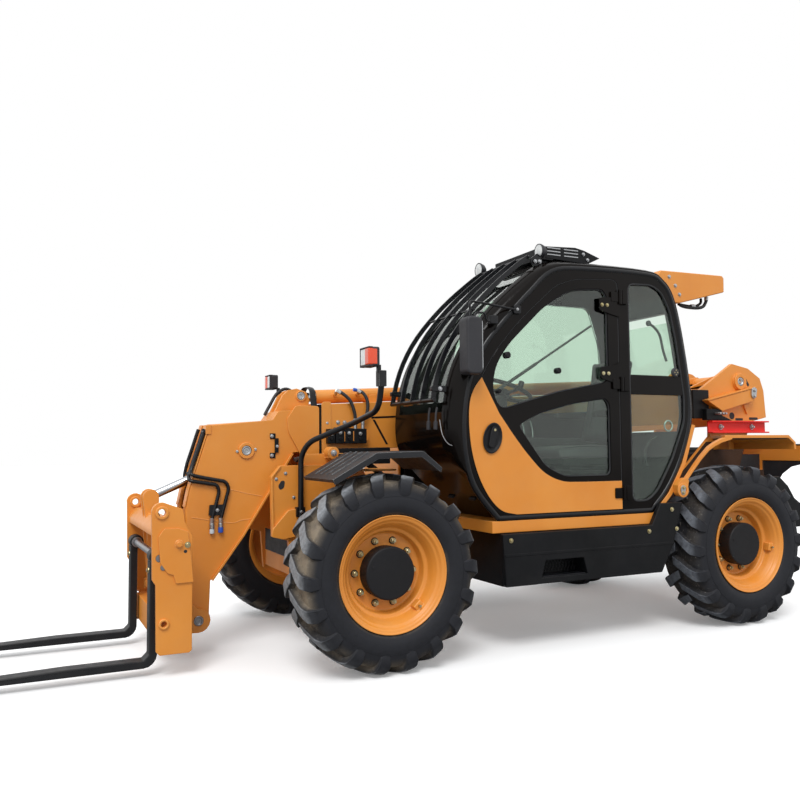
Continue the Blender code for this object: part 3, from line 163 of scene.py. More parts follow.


# two-pack machine enamel on steel plate: warm, even, half gloss, with a film of yard dust on what faces up
# the pale orange along its edges is a painted highlight
ORANGE = coating("orange_machine_enamel", ("#E8963C", "#DF8A30"), (0.3, 0.44), dust=("#C9A57A", 0.22),
    wear_and_highlight=("#F6BE7C", 1.0), soften=2.5)
# chassis enamel, satin: reads near black and picks the dust up more than the orange does
BLACK = coating("black_satin_enamel", ("#0D0E10", "#131417"), (0.34, 0.48), dust=("#5E5A57", 0.14),
    Specular_IOR_Level=0.2)
# stove enamel on the cab's tubes and door: deeper and glossier than the chassis black
CAB_BLACK = coating("black_gloss_enamel", ("#0A0706", "#110D0B"), (0.12, 0.2), grain=(3.0, 0.004),
    dust=("#4A443E", 0.04), Specular_IOR_Level=0.15)
# the roll bar's rim: the same enamel, less polished, catching a blue-grey light along its round edge
RIM_BLACK = coating("black_enamel_on_tube", ("#0E0F12", "#141519"), (0.25, 0.35), grain=(1.5, 0.01),
    Specular_IOR_Level=0.35)
# forged and painted forks: black, rubbed to grey steel along their edges
FORK_BLACK = coating("fork_black_on_forged_steel", ("#16171A", "#1D1E21"), (0.4, 0.6), grain=(4.0, 0.08),
    dust=("#5A5652", 0.3), wear_and_highlight=("#8E8C89", 1.0), soften=3.0, Specular_IOR_Level=0.35)
# signal red enamel of the safety prop
RED = coating("red_signal_enamel", ("#EE2C24", "#DE241E"), (0.35, 0.45), wear_and_highlight=("#F0A09A", 0.8),
    Specular_IOR_Level=0.35)
# sand-cast iron painted thinly: rough skin, dull
CAST = coating("cast_iron_grey", ("#2C2D30", "#3A3A3C"), (0.55, 0.75), grain=(3.0, 0.25),
    dust=("#6B655E", 0.5))
# vulcanised hose rubber: matt with a faint bloom
HOSE = coating("hose_rubber", ("#18191C", "#232428"), (0.5, 0.7), grain=(1.0, 0.02), dust=("#5A5753", 0.25))
# injection-moulded ABS with a fine spark texture, as on mirrors and lamps
PLASTIC = coating("black_moulded_abs", ("#26262A", "#2E2E33"), (0.5, 0.62), grain=(1.2, 0.05),
    dust=("#66625D", 0.15))
# ground and chromed piston rod: mirror bright, faint streaks
CHROME = coating("ground_chrome_rod", ("#C9CBCE", "#B9BBBF"), (0.08, 0.2), grain=(0.8, 0.002), Metallic=1.0)
# bare turned steel with a light oil film
STEEL = coating("turned_steel", ("#A5A5A8", "#8B8B8F"), (0.25, 0.45), grain=(1.0, 0.02), Metallic=1.0)
# zinc-plated and passivated hardware: pale gold
ZINC = coating("yellow_zinc_plate", ("#D2C8A2", "#B3A67C"), (0.25, 0.42), grain=(1.0, 0.02), Metallic=1.0,
    soften=0.8)
# toughened float glass with a green-blue tint
GLASS = glazing("tinted_float_glass", "#D8E9DC")
# hub reduction's cover: powder-coated cast iron, dead flat black
HUB_BLACK = coating("hub_cover_powder_coat", ("#141417", "#1A1A1D"), (0.5, 0.65), grain=(1.5, 0.03),
    dust=("#4C4843", 0.1), Specular_IOR_Level=0.3)
# injection-moulded dust caps, with the soft sheen of polypropylene
CAP_BLUE = coating("blue_polypropylene_cap", ("#2E5CC4", "#2A54B8"), (0.35, 0.5), grain=(1.0, 0.01))
CAP_PALE = coating("pale_polypropylene_cap", ("#D9E2E6", "#C9D4DA"), (0.35, 0.5), grain=(1.0, 0.01))
# the fender's satin top: its grey is partly a painted highlight of the light on its top, partly where boots
# and grit have rubbed it
FENDER_TOP = coating("rubbed_and_highlit_black_enamel", ("#1D1E21", "#2A2B2E"), (0.4, 0.55), wear_and_highlight=("#A9A9A8", 0.9),
    soften=3.0, Specular_IOR_Level=0.3)
# painted shade: a dark brown that stands in for the shadow the rear fender casts into its arch
ARCH_SHADE = coating("painted_arch_shade_brown", ("#331C0B", "#40250F"), (0.7, 0.85), grain=(2.5, 0.1))
# moulded polycarbonate lenses, saturated where the light piles up in the ribs
LENS_RED = coating("red_polycarbonate_lens", ("#C41A16", "#A81512"), (0.12, 0.2), grain=(4.0, 0.3),
    Coat_Weight=0.6)
LENS_AMBER = coating("orange_polycarbonate_lens", ("#F2501E", "#E64414"), (0.12, 0.2), grain=(4.0, 0.3),
    Coat_Weight=0.6, Subsurface_Weight=0.1)
LENS_CLEAR = coating("clear_lens_over_reflector", ("#C9CCCC", "#E6E8E6"), (0.08, 0.16), spread=0.03,
    grain=(7.0, 0.9), Coat_Weight=0.8, Metallic=0.35)
# bright die-cast and mill-finish aluminium
ALLOY = coating("cast_aluminium", ("#C4C6C8", "#B0B2B4"), (0.35, 0.5), grain=(1.5, 0.05), Metallic=1.0)


def tread_rubber(name, earth_most, rub_and_sheen_shade):
    """Vulcanised tyre rubber: blue-black and scuffed, with earth between lugs whose outer faces are rubbed
    grey and lightened further by a painted sheen highlight.
    """
    made, tree, shader = blank(name, Specular_IOR_Level=0.25)
    place = add(tree, "TexCoord")
    lug_height = add(tree, "Attribute", attribute_name="lug_height")
    on_tread = add(tree, "Attribute", attribute_name="tread")
    broad = add(tree, "TexNoise", {"Vector": (place, "Object"), "Scale": 5.0, "Detail": 6.0,
        "Roughness": 0.65})
    scuffs = add(tree, "TexNoise", {"Vector": (place, "Object"), "Scale": 34.0, "Detail": 8.0,
        "Roughness": 0.75})
    base = add(tree, "Mix", {0: (scuffs, 0), 6: linear("#141517"), 7: linear("#303137")}, data_type="RGBA")
    # the lugs' outer faces on the tread: rubbed grey, and lighter still for a painted sheen highlight
    lug_faces = add(tree, "MapRange", {0: (lug_height, "Fac"), 1: 0.85, 2: 1.0})
    worked = add(tree, "Math", {0: (lug_faces, 0), 1: (on_tread, "Fac")}, operation="MULTIPLY")
    share = add(tree, "MapRange", {0: (scuffs, 0), 1: 0.34, 2: 0.58, 3: 0.4, 4: 1.0})
    rub_and_sheen = add(tree, "Math", {0: (worked, 0), 1: (share, 0)}, operation="MULTIPLY")
    wear_and_highlight = add(tree, "Mix", {0: (rub_and_sheen, 0), 6: (base, 2), 7: linear(rub_and_sheen_shade)}, data_type="RGBA")
    low = add(tree, "MapRange", {0: (lug_height, "Fac"), 1: 0.0, 2: 0.8, 3: 1.0, 4: 0.1})
    patch = add(tree, "MapRange", {0: (broad, 0), 1: 0.38, 2: 0.62, 3: 0.1 * earth_most, 4: earth_most})
    between = add(tree, "Math", {0: (on_tread, "Fac"), 1: (low, 0)}, operation="MULTIPLY")
    caked = add(tree, "Math", {0: (between, 0), 1: (patch, 0)}, operation="MULTIPLY")
    earth = add(tree, "Mix", {0: (caked, 0), 6: (wear_and_highlight, 2), 7: linear("#8C7F6D")}, data_type="RGBA")
    specks = add(tree, "TexNoise", {"Vector": (place, "Object"), "Scale": 55.0, "Detail": 5.0,
        "Roughness": 0.8})
    few = add(tree, "MapRange", {0: (specks, 0), 1: 0.58, 2: 0.68, 3: 0.0, 4: 0.7})
    sprinkled = add(tree, "Math", {0: (on_tread, "Fac"), 1: (few, 0)}, operation="MULTIPLY")
    chalky = add(tree, "Mix", {0: (sprinkled, 0), 6: (earth, 2), 7: linear("#8F8B84")}, data_type="RGBA")
    dry = add(tree, "MapRange", {0: (scuffs, 0), 1: 0.3, 2: 0.7, 3: 0.5, 4: 0.85})
    bump = add(tree, "Bump", {"Height": (scuffs, 0), "Distance": 0.0012})
    for output, socket in ((chalky.outputs[2], "Base Color"), (dry.outputs[0], "Roughness"),
            (bump.outputs[0], "Normal")):
        tree.links.new(output, shader.inputs[socket])
    return made


TYRE = tread_rubber("vulcanised_tyre_rubber", 0.95, "#94989D")
# the rear tyres are the same rubber with its earth washed off: blue-black all over
WASHED_TYRE = tread_rubber("washed_tyre_rubber", 0.18, "#70757D")
# grained seat vinyl: charcoal grey, soft sheen on its crowns, leather-like pores a millimetre across
VINYL = coating("seat_vinyl", ("#3A3A3E", "#47474B"), (0.42, 0.58), grain=(1.4, 0.08),
    dust=("#8A8580", 0.15))

FINISH = {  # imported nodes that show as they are, and what they are made of
    ORANGE: "chassis_frame cab_deck rear_fender_left rear_fender_right engine_cover outer_boom"
            " extension_barrel inner_boom fork_carriage air_conditioner_housing",
    BLACK: "side_tank front_fender_left front_fender_right counterweight engine_tray roof_light_bar"
           " windscreen_guard lift_barrel tilt_barrel coupler_pipes",
    FORK_BLACK: "fork_left fork_right",
    RED: "safety_strut",
    CAST: "front_axle rear_axle engine_block front_left_knuckle front_right_knuckle rear_left_knuckle"
          " rear_right_knuckle",
    HOSE: "air_conditioner_hose boom_hose_rear boom_hose_front",
    PLASTIC: "mirror_left headlamp_left headlamp_right steering_column",
    CHROME: "lift_rod tilt_rod extension_rod",
    STEEL: "fork_shaft",
    GLASS: "right_window quarter_window",
    VINYL: "driver_seat",
}
for finish, names in FINISH.items():
    for name in names.split():
        NODES[name].data.materials.clear()
        NODES[name].data.materials.append(finish)


# ---- shapes in the machine frame, and the outlines and paths that they are made from -------------------
def closed(bm):
    """Doubles merged and faces turned outwards."""
    bmesh.ops.remove_doubles(bm, verts=bm.verts, dist=1e-5)
    bmesh.ops.recalc_face_normals(bm, faces=bm.faces)
    return bm


def sharp_edges(bm, over):
    """The edges that turn by more than over degrees."""
    return [e for e in bm.edges if e.is_manifold and e.calc_face_angle(0) > math.radians(over)]


def eased(bm, radius, steps=2, over=30, edges=None, clamp=True):
    """Rounds the given edges, or every one that turns by more than over degrees."""
    edges = sharp_edges(bm, over) if edges is None else edges
    if radius and edges:
        bmesh.ops.bevel(bm, geom=edges, offset=radius, offset_type="OFFSET", segments=steps, profile=0.5,
            affect="EDGES", clamp_overlap=clamp, material=-1)
    return bm


def pushed(bm, geom, shift):
    """Extrudes faces and moves the new ones by shift."""
    made = bmesh.ops.extrude_face_region(bm, geom=geom)["geom"]
    bmesh.ops.translate(bm, verts=verts_in(made), vec=shift)


def verts_in(geom):
    return [g for g in geom if isinstance(g, bmesh.types.BMVert)]


def ring_of(radius, thick, sides, steps):
    """A ring of round section about the y axis."""
    turns = [2 * math.pi * k / sides for k in range(sides)]
    return spun([(thick * math.sin(a), radius + thick * math.cos(a)) for a in turns], steps, loop=True)


def moved(bm, matrix):
    bmesh.ops.transform(bm, matrix=matrix, verts=bm.verts)
    if matrix.determinant() < 0:
        bmesh.ops.recalc_face_normals(bm, faces=bm.faces)
    return bm


def at(x, y, z, side=0):
    """The move to a place. With a side, y also points outboard on it."""
    place = Matrix.Translation((x, y, z))
    return place @ Matrix.Diagonal((1, side, 1, 1)) if side else place


def rotation(degrees, axis="Y"):
    return Matrix.Rotation(math.radians(degrees), 4, axis)


def facing(direction):
    """The turn that takes +z to a direction."""
    return Vector(direction).to_track_quat("Z", "Y").to_matrix().to_4x4()


def rect(x0, x1, z0, z1):
    """A rectangle's corners."""
    return [(x0, z0), (x1, z0), (x1, z1), (x0, z1)]


def slab(outline, low, high, along="y", edge=0.003, steps=2):
    """A plate or block from an outline in the plane square to an axis, with eased edges."""
    bm = bmesh.new()
    order = {"x": (2, 0, 1), "y": (0, 2, 1), "z": (0, 1, 2)}[along]
    face = bm.faces.new([bm.verts.new([(a, b, low)[k] for k in order]) for a, b in outline])
    pushed(bm, [face], [(0, 0, high - low)[k] for k in order])
    return eased(closed(bm), edge, steps)


def span(side, near, far):
    """A (low, high) pair across the machine for two distances from its middle."""
    return sorted((side * near, side * far))


def box(x, y, z, edge=0.003, steps=2):
    """A block from three (low, high) pairs, with eased edges."""
    return slab(rect(*x, *z), *y, edge=edge, steps=steps)


def plate(outline, side, near, far, **more):
    """A plate on one side of the machine, between two distances from its middle."""
    return slab(outline, *span(side, near, far), **more)


def bar(start, end, radius, sides=24, edge=0.0, tip=None):
    """A round bar between two points, tapering to tip."""
    start, end = Vector(start), Vector(end)
    along = end - start
    bm = bmesh.new()
    bmesh.ops.create_cone(bm, cap_ends=True, segments=sides, radius1=radius,
        radius2=radius if tip is None else tip, depth=along.length)
    eased(bm, edge, over=60)
    return closed(moved(bm, at(*(start + end) / 2) @ facing(along)))


def pin(x, z, y0, y1, radius, **more):
    """A bar across the machine."""
    return bar((x, y0, z), (x, y1, z), radius, **more)


def curve(points, per_span=6, loop=False):
    """Points of a smooth curve through the given ones."""
    points = [Vector(p) for p in points]
    if loop:
        points = [points[-1]] + points + points[:2]
    else:
        points = [2 * points[0] - points[1]] + points + [2 * points[-1] - points[-2]]
    path = []
    for a, b, c, d in zip(points, points[1:], points[2:], points[3:]):
        for i in range(per_span):
            t = i / per_span
            path.append(0.5 * (2 * b + (c - a) * t + (2 * a - 5 * b + 4 * c - d) * t ** 2
                + (3 * b - a - 3 * c + d) * t ** 3))
    return path if loop else path + [points[-2]]


def bent(points, radius, steps=6):
    """A path or outline with each inner corner turned into a bend."""
    points = [Vector(p) for p in points]
    path = [points[0]]
    for before, corner, after in zip(points, points[1:], points[2:]):
        reach = min(radius, (before - corner).length / 2.1, (after - corner).length / 2.1)
        a = corner + (before - corner).normalized() * reach
        b = corner + (after - corner).normalized() * reach
        path += [a * (1 - t) ** 2 + corner * 2 * t * (1 - t) + b * t * t
            for t in (i / steps for i in range(steps + 1))]
    return path + [points[-1]]


def flat(points):
    """Points of a path as plain tuples."""
    return [tuple(p) for p in points]


def rounded(outline, radius, steps=4):
    """A closed outline with all its corners rounded."""
    return flat(bent([outline[-1], *outline, outline[0]], radius, steps)[1:-1])


def tube(path, radius, sides=12, ends=True):
    """A hose or pipe along a path: a ring extruded from point to point."""
    path = [Vector(p) for p in path]
    bm = bmesh.new()
    heading = (path[1] - path[0]).normalized()
    ring = bmesh.ops.create_circle(bm, cap_ends=ends, segments=sides, radius=radius)["verts"]
    bmesh.ops.transform(bm, verts=ring, matrix=at(*path[0]) @ facing(heading))
    edges = [e for e in bm.edges if e.is_boundary or len(e.link_faces) < 2]
    for i in range(1, len(path)):
        ahead = (path[min(i + 1, len(path) - 1)] - path[i - 1]).normalized()
        turn = heading.rotation_difference(ahead).to_matrix().to_4x4()
        grown = bmesh.ops.extrude_edge_only(bm, edges=edges)["geom"]
        verts = verts_in(grown)
        edges = [g for g in grown if isinstance(g, bmesh.types.BMEdge)]
        centre = sum((v.co for v in verts), Vector()) / len(verts)
        bmesh.ops.transform(bm, verts=verts, matrix=at(*path[i]) @ turn @ at(*-centre))
        heading = ahead
    if ends:
        bmesh.ops.edgeloop_fill(bm, edges=edges)
    return closed(bm)


def sliced(bm, spot, way, **more):
    """Cuts a shape along a plane."""
    bmesh.ops.bisect_plane(bm, geom=bm.verts[:] + bm.edges[:] + bm.faces[:], plane_co=spot, plane_no=way,
        **more)


def spun(profile, steps=72, loop=False):
    """A ring or disc turned about the y axis from (outboard, radius) pairs."""
    bm = bmesh.new()
    line = [bm.verts.new((0, out, radius)) for out, radius in profile]
    edges = [bm.edges.new(pair) for pair in zip(line, line[1:] + line[:1] if loop else line[1:])]
    bmesh.ops.spin(bm, geom=line + edges, cent=(0, 0, 0), axis=(0, 1, 0), angle=2 * math.pi, steps=steps,
        use_merge=True, use_duplicate=False)
    return closed(bm)


def screw(place, direction, size, washer=1.45, stud=0.0, height=0.65):
    """A hexagon head or nut on its washer, across corners 2 * size, with a stud's end if it has one."""
    bm = bmesh.new()
    bmesh.ops.create_cone(bm, cap_ends=True, segments=20, radius1=size * washer,
        radius2=size * washer * 0.94, depth=size * 0.3, matrix=at(0, 0, size * 0.15))
    bmesh.ops.create_cone(bm, cap_ends=True, segments=6, radius1=size, radius2=size, depth=size * height,
        matrix=at(0, 0, size * (0.3 + height / 2)))
    bmesh.ops.create_cone(bm, cap_ends=True, segments=12, radius1=size * 0.86, radius2=size * 0.7,
        depth=size * 0.12, matrix=at(0, 0, size * (0.36 + height)))
    if stud:
        bmesh.ops.create_cone(bm, cap_ends=True, segments=12, radius1=size * 0.55, radius2=size * 0.48,
            depth=stud, matrix=at(0, 0, size * (0.3 + height) + stud / 2))
    return moved(bm, at(*place) @ facing(direction))


def mesh_of(bm, name):
    """A mesh data block that takes a bmesh's place."""
    mesh = bpy.data.meshes.new(name)
    bm.to_mesh(mesh)
    bm.free()
    return mesh


def joined(shapes):
    """Several shapes in one bmesh."""
    whole = bmesh.new()
    for shape in shapes:
        part = mesh_of(shape, "part")
        whole.from_mesh(part)
        bpy.data.meshes.remove(part)
    return whole


def linked(name, data):
    """A new object in the scene."""
    made = bpy.data.objects.new(name, data)
    bpy.context.scene.collection.objects.link(made)
    return made


def put(name, finish, body, *shapes, hides=(), smooth=35):
    """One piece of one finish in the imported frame, riding a body and hiding the nodes it stands for."""
    mesh = mesh_of(moved(joined(shapes), MACHINE), name)
    mesh.shade_smooth()
    mesh.set_sharp_from_angle(angle=math.radians(smooth))
    made = linked(name, mesh)
    mesh.materials.append(finish)
    weigh = made.modifiers.new("even faces", "WEIGHTED_NORMAL")
    weigh.keep_sharp = True
    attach(made, body)
    if hides:
        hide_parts(*hides)


def copy_of(node):
    """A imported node's shape with its triangles merged into whole faces, in the machine frame."""
    bm = bmesh.new()
    bm.from_mesh(NODES[node].data)
    moved(bm, MACHINE.inverted())
    bmesh.ops.remove_doubles(bm, verts=bm.verts, dist=2e-5)
    bmesh.ops.dissolve_limit(bm, angle_limit=math.radians(0.6), verts=bm.verts, edges=bm.edges)
    return bm


# ---- wheels --------------------------------------------------------------------------------------------
TYRE_R = 0.575
TRACK_HALF = 0.94
CROWN_R = 0.536  # the carcass between the lugs
LUGS = 18  # on each side of the tread
LUG_HEIGHT = 0.0385
SHOULDER, THINNING = 0.145, 0.42  # how far across the lugs begin to thin out, and by how much per metre
LEAST_HEIGHT = 0.0008  # of a lug, at its outer end
LUG_FOOT = 0.004  # how deep a lug's foot lies in the carcass
WALL_OUT = 0.1995  # the furthest that a lug reaches out
TURNED = 96  # steps round a turned tyre or rim
SECTION = [  # (outboard, radius) of the carcass, from the crown's middle down to the rim
    (0.0, CROWN_R), (0.07, 0.5355), (0.125, 0.531), (0.157, 0.519), (0.175, 0.494), (0.185, 0.458),
    (0.192, 0.425), (0.192, 0.39), (0.181, 0.36), (0.1665, 0.3435), (0.16, 0.3425),
]
section = curve(SECTION, 5)
reach = [0.0]
for p, q in zip(section, section[1:]):
    reach.append(reach[-1] + (q - p).length)


def tread_share(out):
    """1 on the tread, 0 on the sidewall."""
    return min(max((0.181 - abs(out)) / 0.035, 0.0), 1.0)


def over_tyre(across, height):
    """(outboard, radius) of a point that far across the tread from its middle and above the carcass."""
    k = max(i for i in range(len(reach) - 1) if reach[i] <= abs(across) or i == 0)
    share = (abs(across) - reach[k]) / (reach[k + 1] - reach[k])
    p = section[k].lerp(section[k + 1], share)
    along = (section[k + 1] - section[k]).normalized()
    q = p + Vector((-along.y, along.x)) * height
    return math.copysign(q.x, across) if across else q.x, q.y


def lug():
    """One bar of the tread: its plan drawn flat, raised, and laid over the tyre's section."""
    plan = [(-0.018, -0.034), (0.05, 0.0), (0.1, 0.034), (0.15, 0.068), (0.185, 0.082), (0.228, 0.09),
        (0.24, 0.122), (0.23, 0.154), (0.18, 0.16), (0.14, 0.14), (0.1, 0.109), (0.05, 0.068),
        (-0.018, 0.026)]
    bm = bmesh.new()
    face = bm.faces.new([bm.verts.new((0, across, along)) for across, along in plan])
    pushed(bm, [face], (1, 0, 0))
    for cut in (0.03, 0.075, 0.125, 0.16, 0.19, 0.215):
        sliced(bm, (0, cut, 0), (0, 1, 0))
    bmesh.ops.recalc_face_normals(bm, faces=bm.faces)
    height = bm.verts.layers.float.new("lug_height")
    tread = bm.verts.layers.float.new("tread")
    for v in bm.verts:
        lift, across, along = v.co
        full = LUG_HEIGHT - max(across - SHOULDER, 0) * THINNING
        out, radius = over_tyre(across, max(full, LEAST_HEIGHT) * lift - LUG_FOOT * (1 - lift))
        along += (1 - lift) * (0.011 if along > 0.2 + across * 0.42 - 0.17 else -0.011)
        radius = min(radius, TYRE_R - 0.0003)
        angle = along / TYRE_R
        v[height] = lift
        v[tread] = tread_share(out)
        v.co = Vector((radius * math.sin(angle), min(out, WALL_OUT), radius * math.cos(angle)))
    return bm


def tyre():
    half = flat(section + [Vector((0.158, 0.3165)), Vector((0.0, 0.3165))])
    ribbed = [(-a, b) for a, b in half[::-1]][1:-1] + half
    carcass = spun(ribbed, TURNED, loop=True)
    carcass.verts.layers.float.new("lug_height")
    tread = carcass.verts.layers.float.new("tread")
    for v in carcass.verts:
        v[tread] = tread_share(v.co.y)
    # the thin raised line round each sidewall
    line = [(0.186, 0.4455), (0.1893, 0.4458), (0.1893, 0.4482), (0.186, 0.4485)]
    shapes = [carcass, *[spun(o, TURNED, loop=True) for o in (line, [(-a, b) for a, b in line])]]
    pattern = lug()
    for side in SIDES:
        for k in range(LUGS):
            turn = 2 * math.pi * (k + (0.5 if side < 0 else 0.0)) / LUGS
            one = pattern.copy()
            moved(one, Matrix.Rotation(turn, 4, "Y") @ at(0, 0, 0, side))
            eased(one, 0.003, 1, 45)
            shapes.append(one)
    pattern.free()
    return joined(shapes)


RIM = [  # (outboard, radius): the pressed rim, round its lips and back along the inside of its barrel
    (0.022, 0.145), (0.022, 0.222), (0.028, 0.231), (0.074, 0.24), (0.08, 0.262), (0.118, 0.276),
    (0.146, 0.292), (0.152, 0.303), (0.168, 0.313), (0.172, 0.328), (0.1785, 0.3345), (0.1785, 0.339),
    (0.169, 0.3395), (0.161, 0.332), (0.158, 0.315), (-0.158, 0.315), (-0.161, 0.332), (-0.169, 0.3395),
    (-0.1785, 0.339), (-0.1785, 0.332), (-0.168, 0.312), (-0.15, 0.302), (-0.12, 0.285), (-0.003, 0.28),
    (-0.005, 0.135),
]
HUB_CAP = [(0.0, 0.152), (0.116, 0.155), (0.123, 0.152), (0.126, 0.145), (0.1265, 0.0)]
NUTS = 10
NUT_CIRCLE = 0.187


def wheels():
    shared = tyre()
    for corner, (axle, side) in CORNERS.items():
        hub = at(axle, side * TRACK_HALF, TYRE_R, side)
        body = f"{corner}_wheel"
        rubber, clock = (TYRE, rotation(42)) if axle == 0 else (WASHED_TYRE, rotation(82))
        put(f"{corner}_tractor_tyre", rubber, body, moved(shared.copy(), hub), hides=[f"{corner}_tyre"],
            smooth=40)
        pressing = spun(flat(bent(RIM, 0.008, 3)), TURNED, loop=True)
        valve_guard = moved(box((-0.03, 0.03), (0.078, 0.13), (-0.29, -0.246), edge=0.008, steps=3), clock)
        put(f"{corner}_pressed_rim", ORANGE, body, moved(pressing, hub), moved(valve_guard, hub),
            hides=[f"{corner}_rim"])
        dome = spun(flat(bent(HUB_CAP, 0.006, 3)), 64)
        port = moved(pin(0, 0.115, 0.125, 0.1285, 0.009), rotation(70))
        put(f"{corner}_hub_cap", HUB_BLACK, body, moved(dome, hub), moved(port, hub))
        nuts, washers = [], []
        for k in range(NUTS):
            turn = 2 * math.pi * (k + 0.5) / NUTS
            spot = (NUT_CIRCLE * math.sin(turn), 0.022, NUT_CIRCLE * math.cos(turn))
            washers.append(bar(spot, (spot[0], 0.0275, spot[2]), 0.0225, edge=0.002))
            nuts.append(screw((spot[0], 0.027, spot[2]), (0, 1, 0), 0.0165, washer=1.1, stud=0.012,
                height=1.0))
        valve = pin(0, -0.266, 0.125, 0.15, 0.0075)
        nuts.append(moved(valve, clock))
        put(f"{corner}_wheel_washers", HUB_BLACK, body, *[moved(w, hub) for w in washers])
        put(f"{corner}_wheel_nuts", ZINC, body, *[moved(n, hub) for n in nuts])
    shared.free()


wheels()


# ---- cab -----------------------------------------------------------------------------------------------
CAB_RIGHT, CAB_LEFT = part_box("cab_shell")[0].y, 1.02
CAB_BODY = [  # (x, z) of the body's section, from its front foot over the roof to its rear foot
    (-0.86, 0.8353), (-0.64, 1.05), (-0.46, 1.25), (-0.42, 1.45), (-0.46, 1.72), (-0.57, 1.96),
    (-0.75, 2.18), (-0.97, 2.38), (-1.18, 2.52), (-1.45, 2.55), (-2.04, 2.55), (-2.2, 2.5), (-2.3, 2.38),
    (-2.37, 2.12), (-2.44, 1.7), (-2.44, 1.45), (-2.33, 1.17), (-2.2, 0.96), (-2.05, 0.8353),
]
CAB_SIDE = [  # the same for its left side
    (-0.76, 0.8353), (-0.6, 1.02), (-0.53, 1.2), (-0.51, 1.45), (-0.55, 1.7), (-0.65, 1.92), (-0.82, 2.12),
    (-1.02, 2.32), (-1.2, 2.47), (-1.45, 2.51), (-2.02, 2.52), (-2.17, 2.47), (-2.26, 2.36), (-2.33, 2.12),
    (-2.4, 1.7), (-2.4, 1.45), (-2.3, 1.18), (-2.17, 0.98), (-2.02, 0.8353),
]
HINGES = (2.32, 1.72, 0.98)  # heights of the door's hinges
DOOR = [(-0.66, 1.74), (-0.61, 1.6), (-0.6, 1.45), (-0.63, 1.25), (-0.73, 0.97), (-0.8, 0.895),
    (-0.88, 0.875), (-1.755, 0.875), (-1.755, 2.44), (-1.4, 2.415), (-1.24, 2.36), (-0.94, 2.1),
    (-0.76, 1.9)]
DOOR_UPPER = [(-0.79, 1.53), (-0.73, 1.66), (-0.76, 1.82), (-0.86, 1.96), (-1.14, 2.22), (-1.36, 2.345),
    (-1.62, 2.37), (-1.665, 2.32), (-1.665, 1.73), (-1.25, 1.655)]
DOOR_LOWER = [(-0.92, 1.44), (-1.09, 1.52), (-1.35, 1.585), (-1.63, 1.625), (-1.67, 1.58), (-1.67, 1.1),
    (-1.28, 1.1), (-1.13, 1.17)]
QUARTER = [(-1.85, 2.42), (-2.06, 2.43), (-2.15, 2.39), (-2.23, 2.26), (-2.28, 2.05), (-2.345, 1.64),
    (-2.34, 1.46), (-2.22, 1.2), (-2.08, 0.99), (-1.99, 0.92), (-1.85, 0.92)]
SCREEN_Y = (CAB_RIGHT + 0.06, 0.92)
REAR_Y = (CAB_RIGHT + 0.09, 0.9)


def flowing(outline, per_span=4, loop=False):
    """An outline with its points joined by a smooth curve."""
    return flat(curve(outline, per_span, loop))


def grown(outline, depth):
    """A closed outline moved outwards by depth, or inwards if it is negative."""
    area = sum(a[0] * b[1] - b[0] * a[1] for a, b in zip(outline, outline[1:] + outline[:1]))
    turn = -1 if area > 0 else 1
    out = []
    for before, here, after in zip(outline[-1:] + outline[:-1], outline, outline[1:] + outline[:1]):
        a = Vector((here[0] - before[0], here[1] - before[1])).normalized()
        b = Vector((after[0] - here[0], after[1] - here[1])).normalized()
        a, b = Vector((-a.y, a.x)) * turn, Vector((-b.y, b.x)) * turn
        mitre = (a + b).normalized()
        out.append(tuple(Vector(here) + mitre * depth / max(mitre.dot(a), 0.4)))
    return out


def skin(sections):
    """A closed shape bridged through (y, outline) sections."""
    bm = bmesh.new()
    loops = []
    for y, outline in sections:
        ring = [bm.verts.new((x, y, z)) for x, z in outline]
        loops.append([bm.edges.new(pair) for pair in zip(ring, ring[1:] + ring[:1])])
    for a, b in zip(loops, loops[1:]):
        bmesh.ops.bridge_loops(bm, edges=a + b)
    for end in (loops[0], loops[-1]):
        bmesh.ops.edgeloop_fill(bm, edges=end)
    return closed(bm)


def carved(shape, *tools):
    """The shape less its tools."""
    work, *knives = [linked("carving", mesh_of(bm, "carving")) for bm in (shape, *tools)]
    for knife in knives:
        cut = work.modifiers.new("cut", "BOOLEAN")
        cut.operation = "DIFFERENCE"
        cut.object = knife
    bpy.context.view_layer.update()
    result = bmesh.new()
    result.from_object(work, bpy.context.evaluated_depsgraph_get())
    for spent in (work, *knives):
        bpy.data.meshes.remove(spent.data)
    bmesh.ops.remove_doubles(result, verts=result.verts, dist=1e-5)
    bmesh.ops.dissolve_limit(result, angle_limit=math.radians(0.3), verts=result.verts, edges=result.edges)
    return result


def seal(outline, y, radius, sides=8):
    """A rubber strip round an opening."""
    return tube([(x, y, z) for x, z in outline + outline[:1]], radius, sides=sides, ends=False)


body_line = flowing(CAB_BODY)
side_line = flowing(CAB_SIDE)
DOOR_LINE = rounded(DOOR, 0.06, 5)
UPPER_LINE = rounded(DOOR_UPPER, 0.07, 5)
LOWER_LINE = rounded(DOOR_LOWER, 0.05, 5)
QUARTER_LINE = rounded(QUARTER, 0.05, 5)


def shell_sections(depth, low_y, shoulder, high_y, steps=5):
    """The cab's sections, moved inwards by depth, with the left shoulder rounded."""
    body = grown(body_line, -depth)
    side = grown(side_line, -depth)
    made = [(low_y, body)]
    for k in range(steps + 1):
        a = math.pi / 2 * k / steps
        mix = 1 - math.cos(a)
        made.append((shoulder + (high_y - shoulder) * math.sin(a),
            [(p[0] + (q[0] - p[0]) * mix, p[1] + (q[1] - p[1]) * mix) for p, q in zip(body, side)]))
    return made


